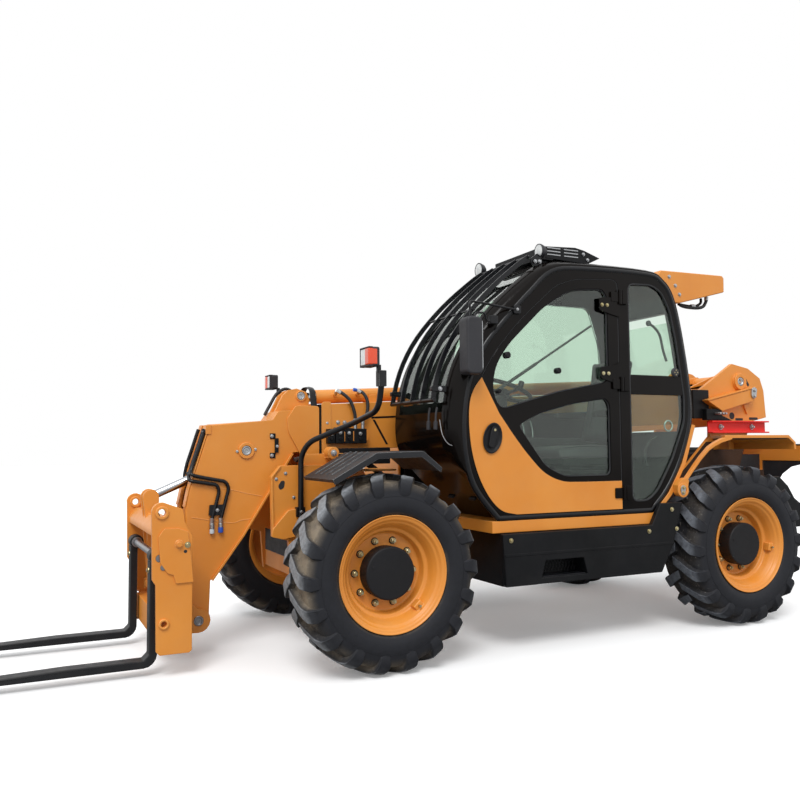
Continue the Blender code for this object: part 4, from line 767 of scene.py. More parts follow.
def curved_pane(name, kept, y, hides):
    """A bent glass that follows the cab's section where kept(point) holds."""
    line = [p for p in (Vector((x, 0, z)) for x, z in grown(body_line, -0.012)) if kept(p)]
    bm = bmesh.new()
    row = [bm.verts.new((p.x, y[0] + 0.0004, p.z)) for p in line]
    edges = [bm.edges.new(pair) for pair in zip(row, row[1:])]
    grown_edges = bmesh.ops.extrude_edge_only(bm, edges=edges)["geom"]
    bmesh.ops.translate(bm, verts=verts_in(grown_edges), vec=(0, y[1] - y[0] - 0.0008, 0))
    bmesh.ops.recalc_face_normals(bm, faces=bm.faces)
    if sum((f.normal.dot(f.calc_center_median() - Vector((-1.4, 0.6, 1.7))) for f in bm.faces)) < 0:
        bmesh.ops.reverse_faces(bm, faces=bm.faces)
    bmesh.ops.solidify(bm, geom=bm.faces[:], thickness=0.006)
    put(name, GLASS, "chassis", closed(bm), hides=hides)


def cab():
    outer = skin(shell_sections(0, CAB_RIGHT, 0.9, CAB_LEFT))
    inner = skin(shell_sections(0.045, CAB_RIGHT + 0.04, 0.86, CAB_LEFT - 0.04))
    screen = slab([(-0.2, 1.52), (-0.7, 1.52), (-0.85, 1.9), (-1.2, 2.3), (-1.2, 2.7), (-0.2, 2.7)],
        *SCREEN_Y, edge=0)
    rear = slab(rounded(rect(-2.25, -2.6, 1.4, 2.26), 0.02), *REAR_Y, edge=0)
    right = slab(rounded([(-0.8, 1.55), (-0.9, 2.05), (-1.2, 2.38), (-2.1, 2.38), (-2.2, 2.1),
        (-2.24, 1.55)], 0.05), 0.1, CAB_RIGHT + 0.1, edge=0)
    door_way = slab(grown(DOOR_LINE, 0.006), 0.9, 1.2, edge=0)
    quarter = slab(QUARTER_LINE, 0.9, 1.2, edge=0)
    shell = carved(outer, inner, screen, rear, right, door_way, quarter)
    lugs = [box((-1.825, -1.7775), (1.01, 1.046), (z - 0.05, z + 0.05), edge=0.005) for z in HINGES]
    put("cab_shell_smooth", CAB_BLACK, "chassis", shell, *lugs, hides=["cab_shell"], smooth=30)
    curved_pane("windscreen_bent", lambda p: p.z > 1.523 and p.x > -1.199, SCREEN_Y, ["windscreen"])
    curved_pane("rear_window_bent", lambda p: 1.403 < p.z < 2.257 and p.x < -2.2, REAR_Y, ["rear_window"])
    put("cab_seals", HOSE, "chassis", seal(grown(DOOR_LINE, 0.003), CAB_LEFT - 0.006, 0.0045),
        seal(QUARTER_LINE, CAB_LEFT - 0.006, 0.008))
    # the roll bar's rounded rim stands proud round the whole side
    put("cab_side_rim", RIM_BLACK, "chassis", seal(grown(side_line, -0.018), CAB_LEFT - 0.012, 0.02,
        sides=16))
    # painted band between the two panes beside the seat
    band = [(-1.85, 1.652), (-1.85, 1.79), (-2.318, 1.79), (-2.342, 1.66), (-2.342, 1.652)]
    put("quarter_band", CAB_BLACK, "chassis", slab(band, CAB_LEFT - 0.011, CAB_LEFT - 0.003, edge=0.001))
    # the latch of the opening pane, and its lever inside
    latch = spun([(0.0, 0.0), (0.0, 0.033), (0.01, 0.033), (0.016, 0.026), (0.016, 0.0)], 32)
    put("quarter_latch", PLASTIC, "chassis", moved(latch, at(-2.262, CAB_LEFT - 0.004, 1.816)))
    put("quarter_latch_screws", ZINC, "chassis", *[pin(-2.262 + a, 1.816 + b, CAB_LEFT + 0.011,
        CAB_LEFT + 0.014, 0.0045, sides=12)
        for a, b in ((0.0, 0.016), (0.0, -0.016), (0.013, 0.0), (-0.013, 0.0))])
    lever = curve([(-2.07, 0.955, 2.165), (-2.13, 0.95, 2.15), (-2.19, 0.95, 2.09), (-2.215, 0.955, 1.98),
        (-2.235, 0.965, 1.9)], 5)
    put("quarter_lever", PLASTIC, "chassis", tube(lever, 0.009, sides=10),
        moved(spun([(0.0, 0.0), (0.0, 0.02), (0.012, 0.02), (0.016, 0.012), (0.016, 0.0)], 24),
        at(-2.075, 0.96, 2.165)))


def door():
    frame_bm = carved(slab(DOOR_LINE, CAB_LEFT - 0.04, CAB_LEFT, edge=0.005, steps=3),
        slab(UPPER_LINE, 0.9, 1.2, edge=0), slab(LOWER_LINE, 0.9, 1.2, edge=0))
    hinges = []
    heads = []
    for z in HINGES:
        hinges.append(bar((-1.765, 1.036, z - 0.05), (-1.765, 1.036, z + 0.05), 0.0122, edge=0.002))
    for z, low, high in ((2.272, 2.2, 2.315), (1.8, 1.735, 1.845)):
        leaf = rounded([(-1.765, high + 0.03), (-1.7, high), (-1.59, high - 0.01), (-1.59, low + 0.02),
            (-1.67, low), (-1.765, low - 0.02)], 0.012)
        hinges.append(slab(leaf, CAB_LEFT + 0.0005, CAB_LEFT + 0.01, edge=0.002))
        for x in (-1.612, -1.656):
            heads.append(screw((x, CAB_LEFT + 0.01, (low + high) / 2), (0, 1, 0), 0.009))
    for z in HINGES:
        hinges.append(slab(rounded(rect(-1.765, -1.69, z - 0.035, z + 0.035), 0.01), CAB_LEFT + 0.0005,
            CAB_LEFT + 0.014, edge=0.002))
    put("door_frame_pressed", CAB_BLACK, "cab_door", frame_bm, *hinges, hides=["door_frame"], smooth=30)
    put("door_hinge_screws", ZINC, "cab_door", *heads)
    y = (CAB_LEFT - 0.024, CAB_LEFT - 0.018)
    put("door_upper_pane", GLASS, "cab_door", slab(grown(UPPER_LINE, -0.0005), *y, edge=0.001, steps=1),
        hides=["door_upper_glass"])
    put("door_lower_pane", GLASS, "cab_door", slab(grown(LOWER_LINE, -0.0005), *y, edge=0.001, steps=1),
        hides=["door_lower_glass"])
    put("door_seals", HOSE, "cab_door", seal(grown(UPPER_LINE, -0.003), CAB_LEFT - 0.012, 0.006),
        seal(grown(LOWER_LINE, -0.003), CAB_LEFT - 0.012, 0.006))
    # the pressed orange skin on the door's lower front
    outer_edge = [(-0.655, 1.735), (-0.6, 1.665), (-0.568, 1.58), (-0.56, 1.45), (-0.577, 1.28),
        (-0.625, 1.12), (-0.7, 0.985), (-0.79, 0.9), (-0.9, 0.872)]
    inner_edge = [(-1.753, 1.062), (-1.4, 1.064), (-1.25, 1.075), (-1.12, 1.13), (-1.01, 1.23),
        (-0.9, 1.355), (-0.78, 1.51)]
    outline = flowing(outer_edge, 5) + [(-1.753, 0.872)] + flowing(inner_edge, 5)
    put("door_skin", ORANGE, "cab_door", slab(outline, CAB_LEFT + 0.0004, CAB_LEFT + 0.0062, edge=0.0015))
    # pull handle in its oval cup
    tilt = at(-0.722, CAB_LEFT + 0.006, 1.355) @ rotation(-14)
    oval = tilt @ Matrix.Diagonal((0.7, 1, 1, 1))
    cup = spun([(0.0, 0.078), (0.004, 0.094), (0.01, 0.098), (0.013, 0.092), (0.011, 0.086), (0.003, 0.074),
        (0.001, 0.0)], 64)
    grip = moved(slab(rounded([(-0.02, -0.062), (0.02, -0.062), (0.026, 0.03), (0.018, 0.072),
        (-0.018, 0.072), (-0.026, 0.03)], 0.018, 5), 0.006, 0.019, edge=0.005, steps=3), tilt)
    put("door_handle", HUB_BLACK, "cab_door", moved(cup, oval), grip)
    put("door_lock_barrel", ZINC, "cab_door", moved(pin(0.0, 0.052, 0.018, 0.0205, 0.008), tilt))
    # gas strut across the upper pane, on round mounts stuck to the glass
    strut = [bar((-0.79, 0.975, 1.655), (-1.555, 0.975, 2.115), 0.0075, edge=0.001),
        bar((-0.79, 0.975, 1.655), (-1.1, 0.975, 1.841), 0.0105, edge=0.002)]
    put("door_gas_strut", PLASTIC, "cab_door", *strut)
    mounts = []
    for x, z, r in ((-0.857, 1.884, 0.026), (-1.253, 1.797, 0.024), (-0.79, 1.652, 0.018)):
        mounts.append(moved(spun([(-0.02, 0.0), (-0.02, r * 0.8), (0.016, r * 0.85), (0.022, r * 0.6),
            (0.022, 0.0)], 28), at(x, CAB_LEFT - 0.02, z)))
    put("door_glass_mounts", HUB_BLACK, "cab_door", *mounts)


cab()
door()


# ---- packed plates with their edges eased --------------------------------------------------------------
def dress(node, finish, edge, over=40, broad=0.0, along=None):
    """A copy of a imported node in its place, with edges rounded by edge, or by broad where along says so."""
    shape = copy_of(node)
    for radius, pick in ((broad, along), (edge, None)):
        sharp = [e for e in sharp_edges(shape, over) if e.calc_length() > radius * 2.5
            and (pick is None or pick(*[v.co for v in e.verts]))]
        if radius and sharp:
            eased(shape, radius, edges=sharp, clamp=False)
            over = 60
    put(f"{node}_eased", finish, NODES[node]["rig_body"], shape, hides=[node])


for node, finish, edge in (("outer_boom", ORANGE, 0.004), ("chassis_frame", ORANGE, 0.003),
        ("counterweight", BLACK, 0.01), ("front_fender_left", FENDER_TOP, 0.003),
        ("front_fender_right", FENDER_TOP, 0.003), ("fork_carriage", ORANGE, 0.003),
        ("rear_fender_left", ORANGE, 0.002), ("rear_fender_right", ORANGE, 0.002),
        ("safety_strut", RED, 0.002), ("cab_deck", ORANGE, 0.004), ("fork_left", FORK_BLACK, 0.006),
        ("fork_right", FORK_BLACK, 0.006), ("air_conditioner_housing", ORANGE, 0.008),
        ("engine_cover", ORANGE, 0.006)):
    dress(node, finish, edge)
for node, finish in (("extension_barrel", ORANGE), ("extension_rod", CHROME), ("lift_barrel", BLACK),
        ("lift_rod", CHROME), ("tilt_barrel", BLACK), ("tilt_rod", CHROME), ("fork_shaft", STEEL),
        ("front_axle", CAST), ("rear_axle", CAST), ("engine_block", CAST), ("engine_tray", BLACK),
        *[(f"{corner}_knuckle", CAST) for corner in CORNERS]):
    dress(node, finish, 0.0015)


def folded(a, b):
    """Whether an edge runs along the boom head's flanks, where its plate is folded broadly."""
    flank = abs(a.y) > 0.149 and abs(b.y) > 0.149 and abs(a.y - b.y) < 0.01
    fore = a.x + b.x > 1.7 or a.z + b.z > 2.88
    return flank and fore and a.x + b.x > 0.9 and (a - b).length > 0.1


dress("inner_boom", ORANGE, 0.003, broad=0.011, along=folded)


def disc_pin(x, z, y, side, radius, ring=1.7, proud=0.012):
    """A pin's dished end, and the boss round it. Returns (boss, pin)."""
    r = radius
    boss = spun([(-0.002, r * ring), (proud * 0.8, r * ring), (proud, r * ring - 0.002), (proud, r * 1.08),
        (0.0, r * 1.08)], 40)
    head = spun([(0.0, r * 1.05), (proud * 0.7, r), (proud * 0.9, r * 0.93), (proud * 0.9, r * 0.72),
        (proud * 0.55, r * 0.6), (proud * 0.55, r * 0.22), (proud * 0.2, r * 0.18), (proud * 0.2, 0.0)], 40)
    return moved(boss, at(x, y, z, side)), moved(head, at(x, y, z, side))


def bolts(spots, y, side, size, **more):
    return [screw((x, y, z), (0, side, 0), size, **more) for x, z in spots]


# ---- boom head -----------------------------------------------------------------------------------------
def boom_head():
    plates, steel, black, silver = [], [], [], []
    lobe = rounded([(0.335, 1.497), (0.322, 1.404), (0.236, 1.25), (0.2, 1.176), (0.107, 1.182),
        (0.107, 1.585), (0.271, 1.588)], 0.022)
    for side in SIDES:
        plates.append(plate(lobe, side, 0.1495, 0.16, edge=0.003))
        boss, head = disc_pin(0.607, 1.288, side * 0.15, side, 0.031)
        plates.append(boss)
        steel.append(head)
        silver += bolts([(0.667, 1.283), (0.547, 1.295)], side * 0.15, side, 0.0085, washer=1.2)
        ring, cap = disc_pin(0.2066, 1.657, side * 0.065, side, 0.027, ring=1.35, proud=0.01)
        plates.append(ring)
        steel.append(cap)
        silver += bolts([(0.2066, 1.672), (0.2066, 1.642)], side * 0.072, side, 0.005)
        # weld lines where the head's lower box joins the side plate
        for line in ([(0.499, 0.988), (0.6, 1.01), (0.739, 1.044), (0.965, 1.085)],
                [(0.575, 0.845), (0.64, 0.838), (0.692, 0.825), (0.78, 0.835), (0.956, 0.871)]):
            plates.append(tube(curve([(x, side * 0.1498, z) for x, z in line], 4), 0.0028, sides=8))
    # the rim that overhangs along the diagonal, and the cover strip down the front
    diagonal = [(0.303, 1.268), (0.633, 0.745), (0.832, 0.474), (0.822, 0.466), (0.622, 0.738),
        (0.29, 1.262)]
    plates.append(slab(diagonal, -0.168, 0.168, edge=0.002))
    front = [(0.842, 1.456), (0.972, 1.046), (0.995, 0.937), (1.001, 0.937), (0.978, 1.048), (0.848, 1.459)]
    for side in SIDES:
        plates.append(plate(front, side, 0.075, 0.152, edge=0.0015))
    plates.append(box((0.838, 0.872), (0.148, 0.158), (1.395, 1.452)))
    put("boom_head_plates", ORANGE, "inner_boom", *plates)
    put("boom_head_pins", ALLOY, "inner_boom", *steel)
    # bracket on the left side
    for z in (1.382, 1.254):
        black.append(box((0.412, 0.45), (0.15, 0.158), (z - 0.018, z + 0.018)))
        silver += bolts([(0.438, z)], 0.158, 1, 0.0085)
    black.append(slab(rounded(rect(0.392, 0.418, 1.272, 1.368), 0.006), 0.15, 0.163))
    silver += bolts([(0.402, 1.314)], 0.163, 1, 0.0075)
    # strap over the cylinder at the mouth, and the wiper in the gap
    arch = bent([(0.137, 0.138, 1.585), (0.137, 0.11, 1.69), (0.137, 0.05, 1.722), (0.137, -0.05, 1.722),
        (0.137, -0.11, 1.69), (0.137, -0.138, 1.585)], 0.05)
    strap = tube(arch, 0.004, sides=4)
    bmesh.ops.scale(strap, vec=(5.6, 1, 1), verts=strap.verts, space=at(-0.137, 0, 0))
    put("boom_mouth_strap", RIM_BLACK, "inner_boom", strap)
    put("boom_head_bracket", BLACK, "inner_boom", *black)
    # hose over the ears
    route = curve([(0.165, -0.08, 1.585), (0.195, -0.084, 1.672), (0.262, -0.084, 1.714),
        (0.33, -0.084, 1.68), (0.385, -0.084, 1.59), (0.42, -0.075, 1.53)], 6)
    put("head_hose", HOSE, "inner_boom", tube(route, 0.011))
    # rigid pipes to the couplers
    y = 0.1663
    runs = [[(0.869, 0.085, 1.43), (0.881, 0.085, 1.395), (0.914, 0.085, 1.29), (0.948, 0.088, 1.185),
        (0.972, 0.11, 1.12), (0.972, y, 1.1), (0.915, y, 1.092), (0.8, y, 1.072), (0.786, y, 1.03),
        (0.832, y, 0.85)], [(0.872, 0.125, 1.42), (0.89, 0.125, 1.365), (0.945, 0.13, 1.2),
        (0.962, 0.14, 1.16), (0.962, y, 1.138), (0.9, y, 1.122), (0.745, y, 1.092), (0.724, y, 1.05),
        (0.776, y, 0.85)]]
    pipes = [tube(bent(run, 0.045), 0.0115, sides=14) for run in runs]
    pipes.append(tube(bent([(x, -py, z) for x, py, z in runs[0][:4]]
        + [(0.962, -0.088, 1.1), (0.9, -0.09, 1.02)], 0.04), 0.0115, sides=14))
    clamp = [slab(rounded([(0.762, 0.878), (0.852, 0.878), (0.846, 0.946), (0.752, 0.946)], 0.008), 0.1503,
        0.17), box((0.86, 0.885), (0.06, 0.14), (1.402, 1.418))]
    put("coupler_pipes_bent", RIM_BLACK, "inner_boom", *pipes, *clamp, hides=["coupler_pipes"])
    silver += bolts([(0.8, 0.912)], 0.178, 1, 0.008)
    put("head_bolts", ALLOY, "inner_boom", *silver)
    ends = []
    for x, drop in ((0.832, 0.002), (0.776, -0.001)):
        ends.append(bar((x, y, 0.862), (x, y, 0.826), 0.0145, sides=6, edge=0.001))
        ends.append(bar((x, y, 0.828), (x, y, 0.792 + drop), 0.016, edge=0.003))
    put("coupler_bodies", ALLOY, "inner_boom", *ends)
    put("coupler_cap_blue", CAP_BLUE, "inner_boom", bar((0.776, y, 0.806), (0.776, y, 0.768), 0.0165,
        edge=0.004))
    put("coupler_cap_pale", CAP_PALE, "inner_boom", bar((0.832, y, 0.794), (0.832, y, 0.764), 0.0145,
        edge=0.004))


def boom_mouth():
    plates, silver, black, steel = [], [], [], []
    for side in SIDES:
        plates.append(plate(rounded([(0.018, 1.19), (0.084, 1.184), (0.086, 1.6), (0.072, 1.616),
            (0.018, 1.618)], 0.01), side, 0.1395, 0.15, edge=0.002))
        plates.append(plate(rounded([(-0.03, 1.2), (0.084, 1.196), (0.084, 1.29), (-0.03, 1.31)], 0.01),
            side, 0.1395, 0.148, edge=0.002))
        boss, head = disc_pin(0.052, 1.245, side * 0.15, side, 0.021, ring=1.5, proud=0.012)
        plates.append(boss)
        steel.append(head)
        # wiper round the inner section
        black.append(box((0.087, 0.099), span(side, 0.126, 0.147), (1.215, 1.59)))
    black.append(box((0.087, 0.099), (-0.147, 0.147), (1.583, 1.598)))
    # valve bank under the hoses
    for x0, x1, top, out in ((0.002, 0.056, 1.43, 0.19), (-0.062, 0.0, 1.44, 0.2),
            (-0.13, -0.064, 1.436, 0.196), (-0.228, -0.132, 1.432, 0.1985)):
        black.append(box((x0, x1), (0.139, out), (1.33, top), edge=0.006, steps=3))
        silver += bolts([((x0 + x1) / 2, top - 0.035)], out, 1, 0.009, height=0.9)
        black.append(pin((x0 + x1) / 2, 1.362, out - 0.002, out + 0.012, 0.013, sides=6, edge=0.002))
    silver += bolts([(0.045, 1.47), (-0.036, 1.476), (-0.085, 1.475)], 0.141, 1, 0.01)
    # hoses from the extension cylinder's ports
    routes = (([(-0.0455, 0.078, 1.684), (-0.0455, 0.1, 1.69), (-0.036, 0.122, 1.696)],
        [(-0.036, 0.122, 1.696), (-0.072, 0.15, 1.672), (-0.118, 0.168, 1.622), (-0.146, 0.176, 1.54),
        (-0.15, 0.176, 1.485)], -0.15), ([(-0.215, 0.078, 1.692), (-0.215, 0.1, 1.697),
        (-0.19, 0.122, 1.7)], [(-0.19, 0.122, 1.7), (-0.222, 0.15, 1.68), (-0.246, 0.17, 1.62),
        (-0.238, 0.176, 1.54), (-0.206, 0.176, 1.485)], -0.206))
    hoses, fittings = [], []
    for elbow, route, x in routes:
        fittings.append(tube(bent(elbow, 0.02), 0.0125, sides=14))
        fittings.append(bar(elbow[-1], Vector(elbow[-1]).lerp(Vector(route[1]), 0.7), 0.015, sides=6,
            edge=0.001))
        hoses.append(tube(curve(route, 7), 0.0118, sides=14))
        fittings.append(bar((x, 0.176, 1.5), (x, 0.176, 1.46), 0.014, edge=0.002))
        fittings.append(bar((x, 0.176, 1.462), (x, 0.176, 1.428), 0.012, sides=6, edge=0.001))
    put("mouth_plates", ORANGE, "outer_boom", *plates)
    put("mouth_pins", ALLOY, "outer_boom", *steel)
    put("mouth_valves", BLACK, "outer_boom", *black)
    put("mouth_bolts", ALLOY, "outer_boom", *silver)
    put("boom_hoses_smooth", HOSE, "outer_boom", *hoses, hides=["boom_hose_rear", "boom_hose_front"])
    put("boom_hose_fittings", ALLOY, "outer_boom", *fittings)
    put("port_cap_blue", CAP_BLUE, "outer_boom", bar((-0.183, 0.124, 1.702), (-0.158, 0.126, 1.706), 0.0125,
        edge=0.003))
    # plain coachline on the boom's side
    lines = [slab(o, 0.1396, 0.1408, edge=0) for o in ([(-0.288, 1.503), (-0.288, 1.517), (-0.68, 1.535),
        (-0.68, 1.521)], [(-0.296, 1.497), (-0.314, 1.497), (-0.416, 1.322), (-0.398, 1.322)])]
    put("boom_coachline", BLACK, "outer_boom", *lines)


boom_head()
boom_mouth()


# ---- fork carriage -------------------------------------------------------------------------------------
CARRIAGE_OUT, CARRIAGE_IN = 0.56, 0.53  # the side plates' faces
FORK_Y = 0.42
FOOT_OUT = 0.182  # the face of the boom's foot


def carriage():
    plates, silver, steel, dark = [], [], [], []
    doubler = rounded([(1.191, 0.849), (1.11, 0.846), (1.06, 0.827), (1.045, 0.735), (1.026, 0.536),
        (1.125, 0.534), (1.139, 0.584), (1.172, 0.594), (1.213, 0.656), (1.224, 0.805)], 0.006)
    for side in SIDES:
        out = side * CARRIAGE_OUT
        plates.append(plate(doubler, side, CARRIAGE_OUT - 0.001, CARRIAGE_OUT + 0.011, edge=0.002))
        for x, z, r, big in ((1.205, 0.939, 0.0215, 1.75), (1.19, 0.31, 0.0175, 1.7)):
            for face, way in ((out, side), (side * CARRIAGE_IN, -side)):
                ring = spun([(-0.001, r), (0.0105, r), (0.012, r + 0.002), (0.012, r * big - 0.003),
                    (0.009, r * big), (-0.001, r * big)], 40, loop=True)
                plates.append(moved(ring, at(x, face, z, way)))
        plates.append(pin(1.11, 0.757, out, out + side * 0.034, 0.0155, edge=0.003))
        plates.append(pin(1.11, 0.757, out, out + side * 0.016, 0.024, edge=0.003))
        silver += bolts([(1.061, 0.751)], out + side * 0.011, side, 0.0125)
        # painted shade: a thin dark disc on the doubler for the shade inside its hole
        dark.append(pin(1.073, 0.714, out + side * 0.009, out + side * 0.0116, 0.01))
        steel.append(pin(1.196, 0.628, out - side * 0.002, out + side * 0.006, 0.016, edge=0.002))
        # the boom's foot pin and its keeper
        steel.append(disc_pin(0.915, 0.23, side * FOOT_OUT, side, 0.03, proud=0.008)[1])
        plates.append(box((1.035, 1.075), span(side, FOOT_OUT, 0.2), (0.395, 0.43), edge=0.004))
    # tie strips and web plates between the side plates
    plates += [box((1.112, 1.128), span(side, 0.205, CARRIAGE_IN), (0.8, 0.875)) for side in SIDES]
    for y in (-0.3, 0.3):
        plates.append(slab([(1.1, 0.32), (1.15, 0.32), (1.15, 0.36), (1.19, 0.8), (1.14, 0.8), (1.12, 0.5)],
            y - 0.008, y + 0.008, edge=0.002))
    # side-shift cylinder between the plates
    barrel = pin(1.125, 0.385, -0.46, 0.02, 0.026, edge=0.004)
    plates += [barrel, box((1.1, 1.15), (-0.5, -0.455), (0.35, 0.42), edge=0.004),
        box((1.1, 1.15), (0.2, 0.245), (0.33, 0.42), edge=0.004)]
    put("side_shift_rod", CHROME, "carriage", pin(1.125, 0.385, 0.0, 0.225, 0.014))
    dark.append(tube(curve([(1.1, -0.42, 0.405), (1.085, -0.4, 0.46), (1.095, -0.28, 0.5),
        (1.11, -0.12, 0.47), (1.115, -0.06, 0.415)], 6), 0.008))
    put("carriage_plates", ORANGE, "carriage", *plates)
    put("carriage_bolts", ZINC, "carriage", *silver)
    put("carriage_pins", STEEL, "carriage", *steel)
    put("carriage_dark", HOSE, "carriage", *dark)
    # hooks that hold each shank on the shaft, and its stop pin
    collars, keys = [], []
    for side in SIDES:
        for y in (side * FORK_Y - 0.062, side * FORK_Y + 0.062):
            collars.append(moved(spun([(-0.01, 0.0235), (-0.01, 0.034), (0.01, 0.034), (0.01, 0.0235)], 32,
                loop=True), at(1.215, y, 0.68)))
        keys.append(screw((1.2555, side * FORK_Y, 0.6), (1, 0, 0), 0.012))
    put("shaft_collars", STEEL, "carriage", *collars)
    put("fork_keys", ZINC, "carriage", *keys)


carriage()


# ---- turret, tail and fenders --------------------------------------------------------------------------
FRAME_OUT = 0.335


def turret():
    plates, silver, steel, dark = [], [], [], []
    for side in SIDES:
        out = side * FRAME_OUT
        boss, head = disc_pin(-3.66, 1.84, out + side * 0.014, side, 0.036, ring=1.9, proud=0.014)
        plates.append(boss)
        steel.append(head)
        silver += bolts([(-3.66, 1.856), (-3.66, 1.824)], out + side * 0.024, side, 0.006)
        # second pin, in its pear-shaped boss
        pear = rounded([(-3.892, 1.775), (-3.875, 1.7), (-3.845, 1.69), (-3.82, 1.715), (-3.825, 1.775),
            (-3.855, 1.795)], 0.022)
        face, shift = (0.406, 0.099) if side > 0 else (out, 0.0)
        steel.append(moved(plate(pear, side, abs(face) - 0.02, abs(face) + 0.012), at(shift, 0, 0)))
        silver += bolts([(shift - 3.857, 1.762), (shift - 3.856, 1.712)], face + side * 0.012, side, 0.011)
        # painted shade: thin dark sheets and discs on the plate stand in for the shade inside its holes
        for hole in ([(-3.735, 1.862), (-3.752, 1.872), (-3.792, 1.815), (-3.772, 1.798)],
                rect(-3.88, -3.775, 1.512, 1.534), rect(-3.7, -3.61, 1.506, 1.526)):
            dark.append(plate(rounded(hole, 0.008), side, FRAME_OUT - 0.001, FRAME_OUT + 0.0012, edge=0))
        dark.append(pin(-3.57, 1.545, out - side * 0.001, out + side * 0.001, 0.03))
        dark.append(pin(-3.358, 1.179, out - side * 0.001, out + side * 0.001, 0.022))
    # folded lip on the outboard box, and its bracket
    plates.append(slab([(-3.225, 1.664), (-3.79, 1.789), (-3.788, 1.799), (-3.222, 1.674)], 0.325, 0.412,
        edge=0.002))
    plates.append(slab([(-3.7, 1.64), (-3.8, 1.655), (-3.74, 1.56)], FRAME_OUT, 0.35, edge=0.002))
    put("turret_plates", ORANGE, "chassis", *plates)
    put("turret_pins", ALLOY, "chassis", *steel)
    put("turret_bolts", ALLOY, "chassis", *silver)
    # black valve block and fittings between the cab and the tower
    blocks = [box((-3.3, -3.12), (0.3, 0.345), (1.52, 1.76), edge=0.006),
        box((-3.4, -3.22), (0.336, 0.392), (1.505, 1.6), edge=0.006),
        slab([(-3.36, 1.505), (-3.56, 1.505), (-3.4, 1.56)], 0.336, 0.35, edge=0.002)]
    put("turret_valve", BLACK, "chassis", *blocks)
    fittings = []
    for x in (-3.385, -3.352, -3.318):
        fittings.append(pin(x, 1.56, 0.392, 0.432, 0.012, sides=6, edge=0.001))
        fittings.append(pin(x, 1.56, 0.432, 0.45, 0.009, edge=0.001))
    put("turret_fittings", ALLOY, "chassis", *fittings)
    put("turret_hole_shade", HOSE, "chassis", *dark)
    # red prop: its bolts
    put("prop_bolts", ALLOY, "chassis", *bolts([(-3.39, 1.4485), (-3.755, 1.4485)], 0.376, 1, 0.017,
        stud=0.012))
    # lug beside the cab: an oval plate with two holes
    oval = rounded([(-2.28, 1.005), (-2.272, 0.955), (-2.244, 0.95), (-2.232, 0.965), (-2.236, 1.015),
        (-2.262, 1.022)], 0.02)
    put("lug_keeper", ALLOY, "chassis", slab(oval, 1.0701, 1.079, edge=0.002))
    put("lug_keeper_bolts", ZINC, "chassis", *bolts([(-2.258, 1.003), (-2.254, 0.968)], 1.079, 1, 0.009))
    put("cab_lug_boss", ORANGE, "chassis", moved(spun([(0.0, 0.03), (0.0, 0.05), (0.008, 0.05),
        (0.01, 0.047), (0.01, 0.03)], 36, loop=True), at(-2.258, 1.066, 0.985)))


def tail():
    # lamps and reflectors in the counterweight's face, and the towing pin
    lamp_boxes, red, amber, steel, sheets = [], [], [], [], []
    for side in SIDES:
        y = span(side, 0.52, 0.7)
        lamp_boxes.append(box((-4.075, -4.035), y, (1.175, 1.275), edge=0.008, steps=3))
        red.append(box((-4.084, -4.07), span(side, 0.53, 0.612), (1.185, 1.265), edge=0.006, steps=3))
        amber.append(box((-4.084, -4.07), span(side, 0.618, 0.69), (1.185, 1.265), edge=0.006, steps=3))
        # a rubber splash sheet behind the wheel, and a dark sheet inside the frame's opening that is painted
        # shade
        sheet = [(0.345, 1.228), (0.717, 1.228), (0.706, 1.129), (0.619, 1.109), (0.53, 1.047),
            (0.488, 0.986), (0.477, 0.926), (0.345, 0.87)]
        sheets.append(slab([(side * y, z) for y, z in sheet], -3.93, -3.925, along="x", edge=0.001))
        sheets.append(box((-3.98, -3.5), span(side, 0.303, 0.307), (0.86, 1.215), edge=0.001))
    put("tail_splash_and_shade_sheets", HOSE, "chassis", *sheets)
    put("rear_lamp_arm", BLACK, "chassis", box((-4.036, -4.02), (-0.72, -0.29), (1.195, 1.255), edge=0.004))
    put("rear_lamp_boxes", PLASTIC, "chassis", *lamp_boxes)
    put("rear_lamps_red", LENS_RED, "chassis", *red)
    put("rear_lamps_amber", LENS_AMBER, "chassis", *amber)
    jaw = [box((-4.098, -4.04), (-0.09, 0.09), (z, z + 0.022), edge=0.005) for z in (0.835, 0.925)]
    steel.append(bar((-4.075, 0, 0.815), (-4.075, 0, 0.985), 0.017, edge=0.003))
    steel.append(tube(curve([(-4.075, 0, 0.98), (-4.06, 0.02, 1.02), (-4.075, 0.0, 1.045),
        (-4.09, -0.02, 1.02), (-4.076, 0, 0.982)], 5), 0.005))
    put("towing_jaw", BLACK, "chassis", *jaw)
    put("towing_pin", ZINC, "chassis", *steel)
    put("tail_beam_cap", BLACK, "chassis", slab(rect(-4.042, -3.918, 1.288, 1.3), -0.305, 0.722,
        edge=0.002))


def front_fenders():
    for name, side in zip(("left", "right"), SIDES):
        ribs = []
        for y in (0.7, 0.79, 0.88, 0.97):
            start, end = Vector((0.095, side * y, 1.2705)), Vector((0.33, side * (y + 0.012), 1.146))
            ribs.append(bar(start, end, 0.011, sides=10, edge=0.0, tip=0.006))
        # turned-down outer lip
        lip = [(0.371, 1.125), (0.1, 1.272), (-0.2, 1.28), (-0.325, 1.18), (-0.318, 1.15), (-0.19, 1.243),
            (0.088, 1.236), (0.355, 1.095)]
        put(f"front_fender_ribs_{name}", FENDER_TOP, "chassis", *ribs,
            plate(lip, side, 1.09, 1.1035, edge=0.004))
        bracket = rounded([(0.2, 1.15), (0.02, 1.15), (0.02, 1.235), (0.13, 1.235)], 0.012)
        put(f"front_fender_bracket_{name}", ORANGE, "chassis", plate(bracket, side, 0.6, 0.612, edge=0.002),
            box((-0.26, 0.1), span(side, 0.336, 0.6), (1.15, 1.162), edge=0.002))
        put(f"front_fender_bolts_{name}", ZINC, "chassis", *bolts([(0.05, 1.19), (0.12, 1.19)],
            side * 0.612, side, 0.01))


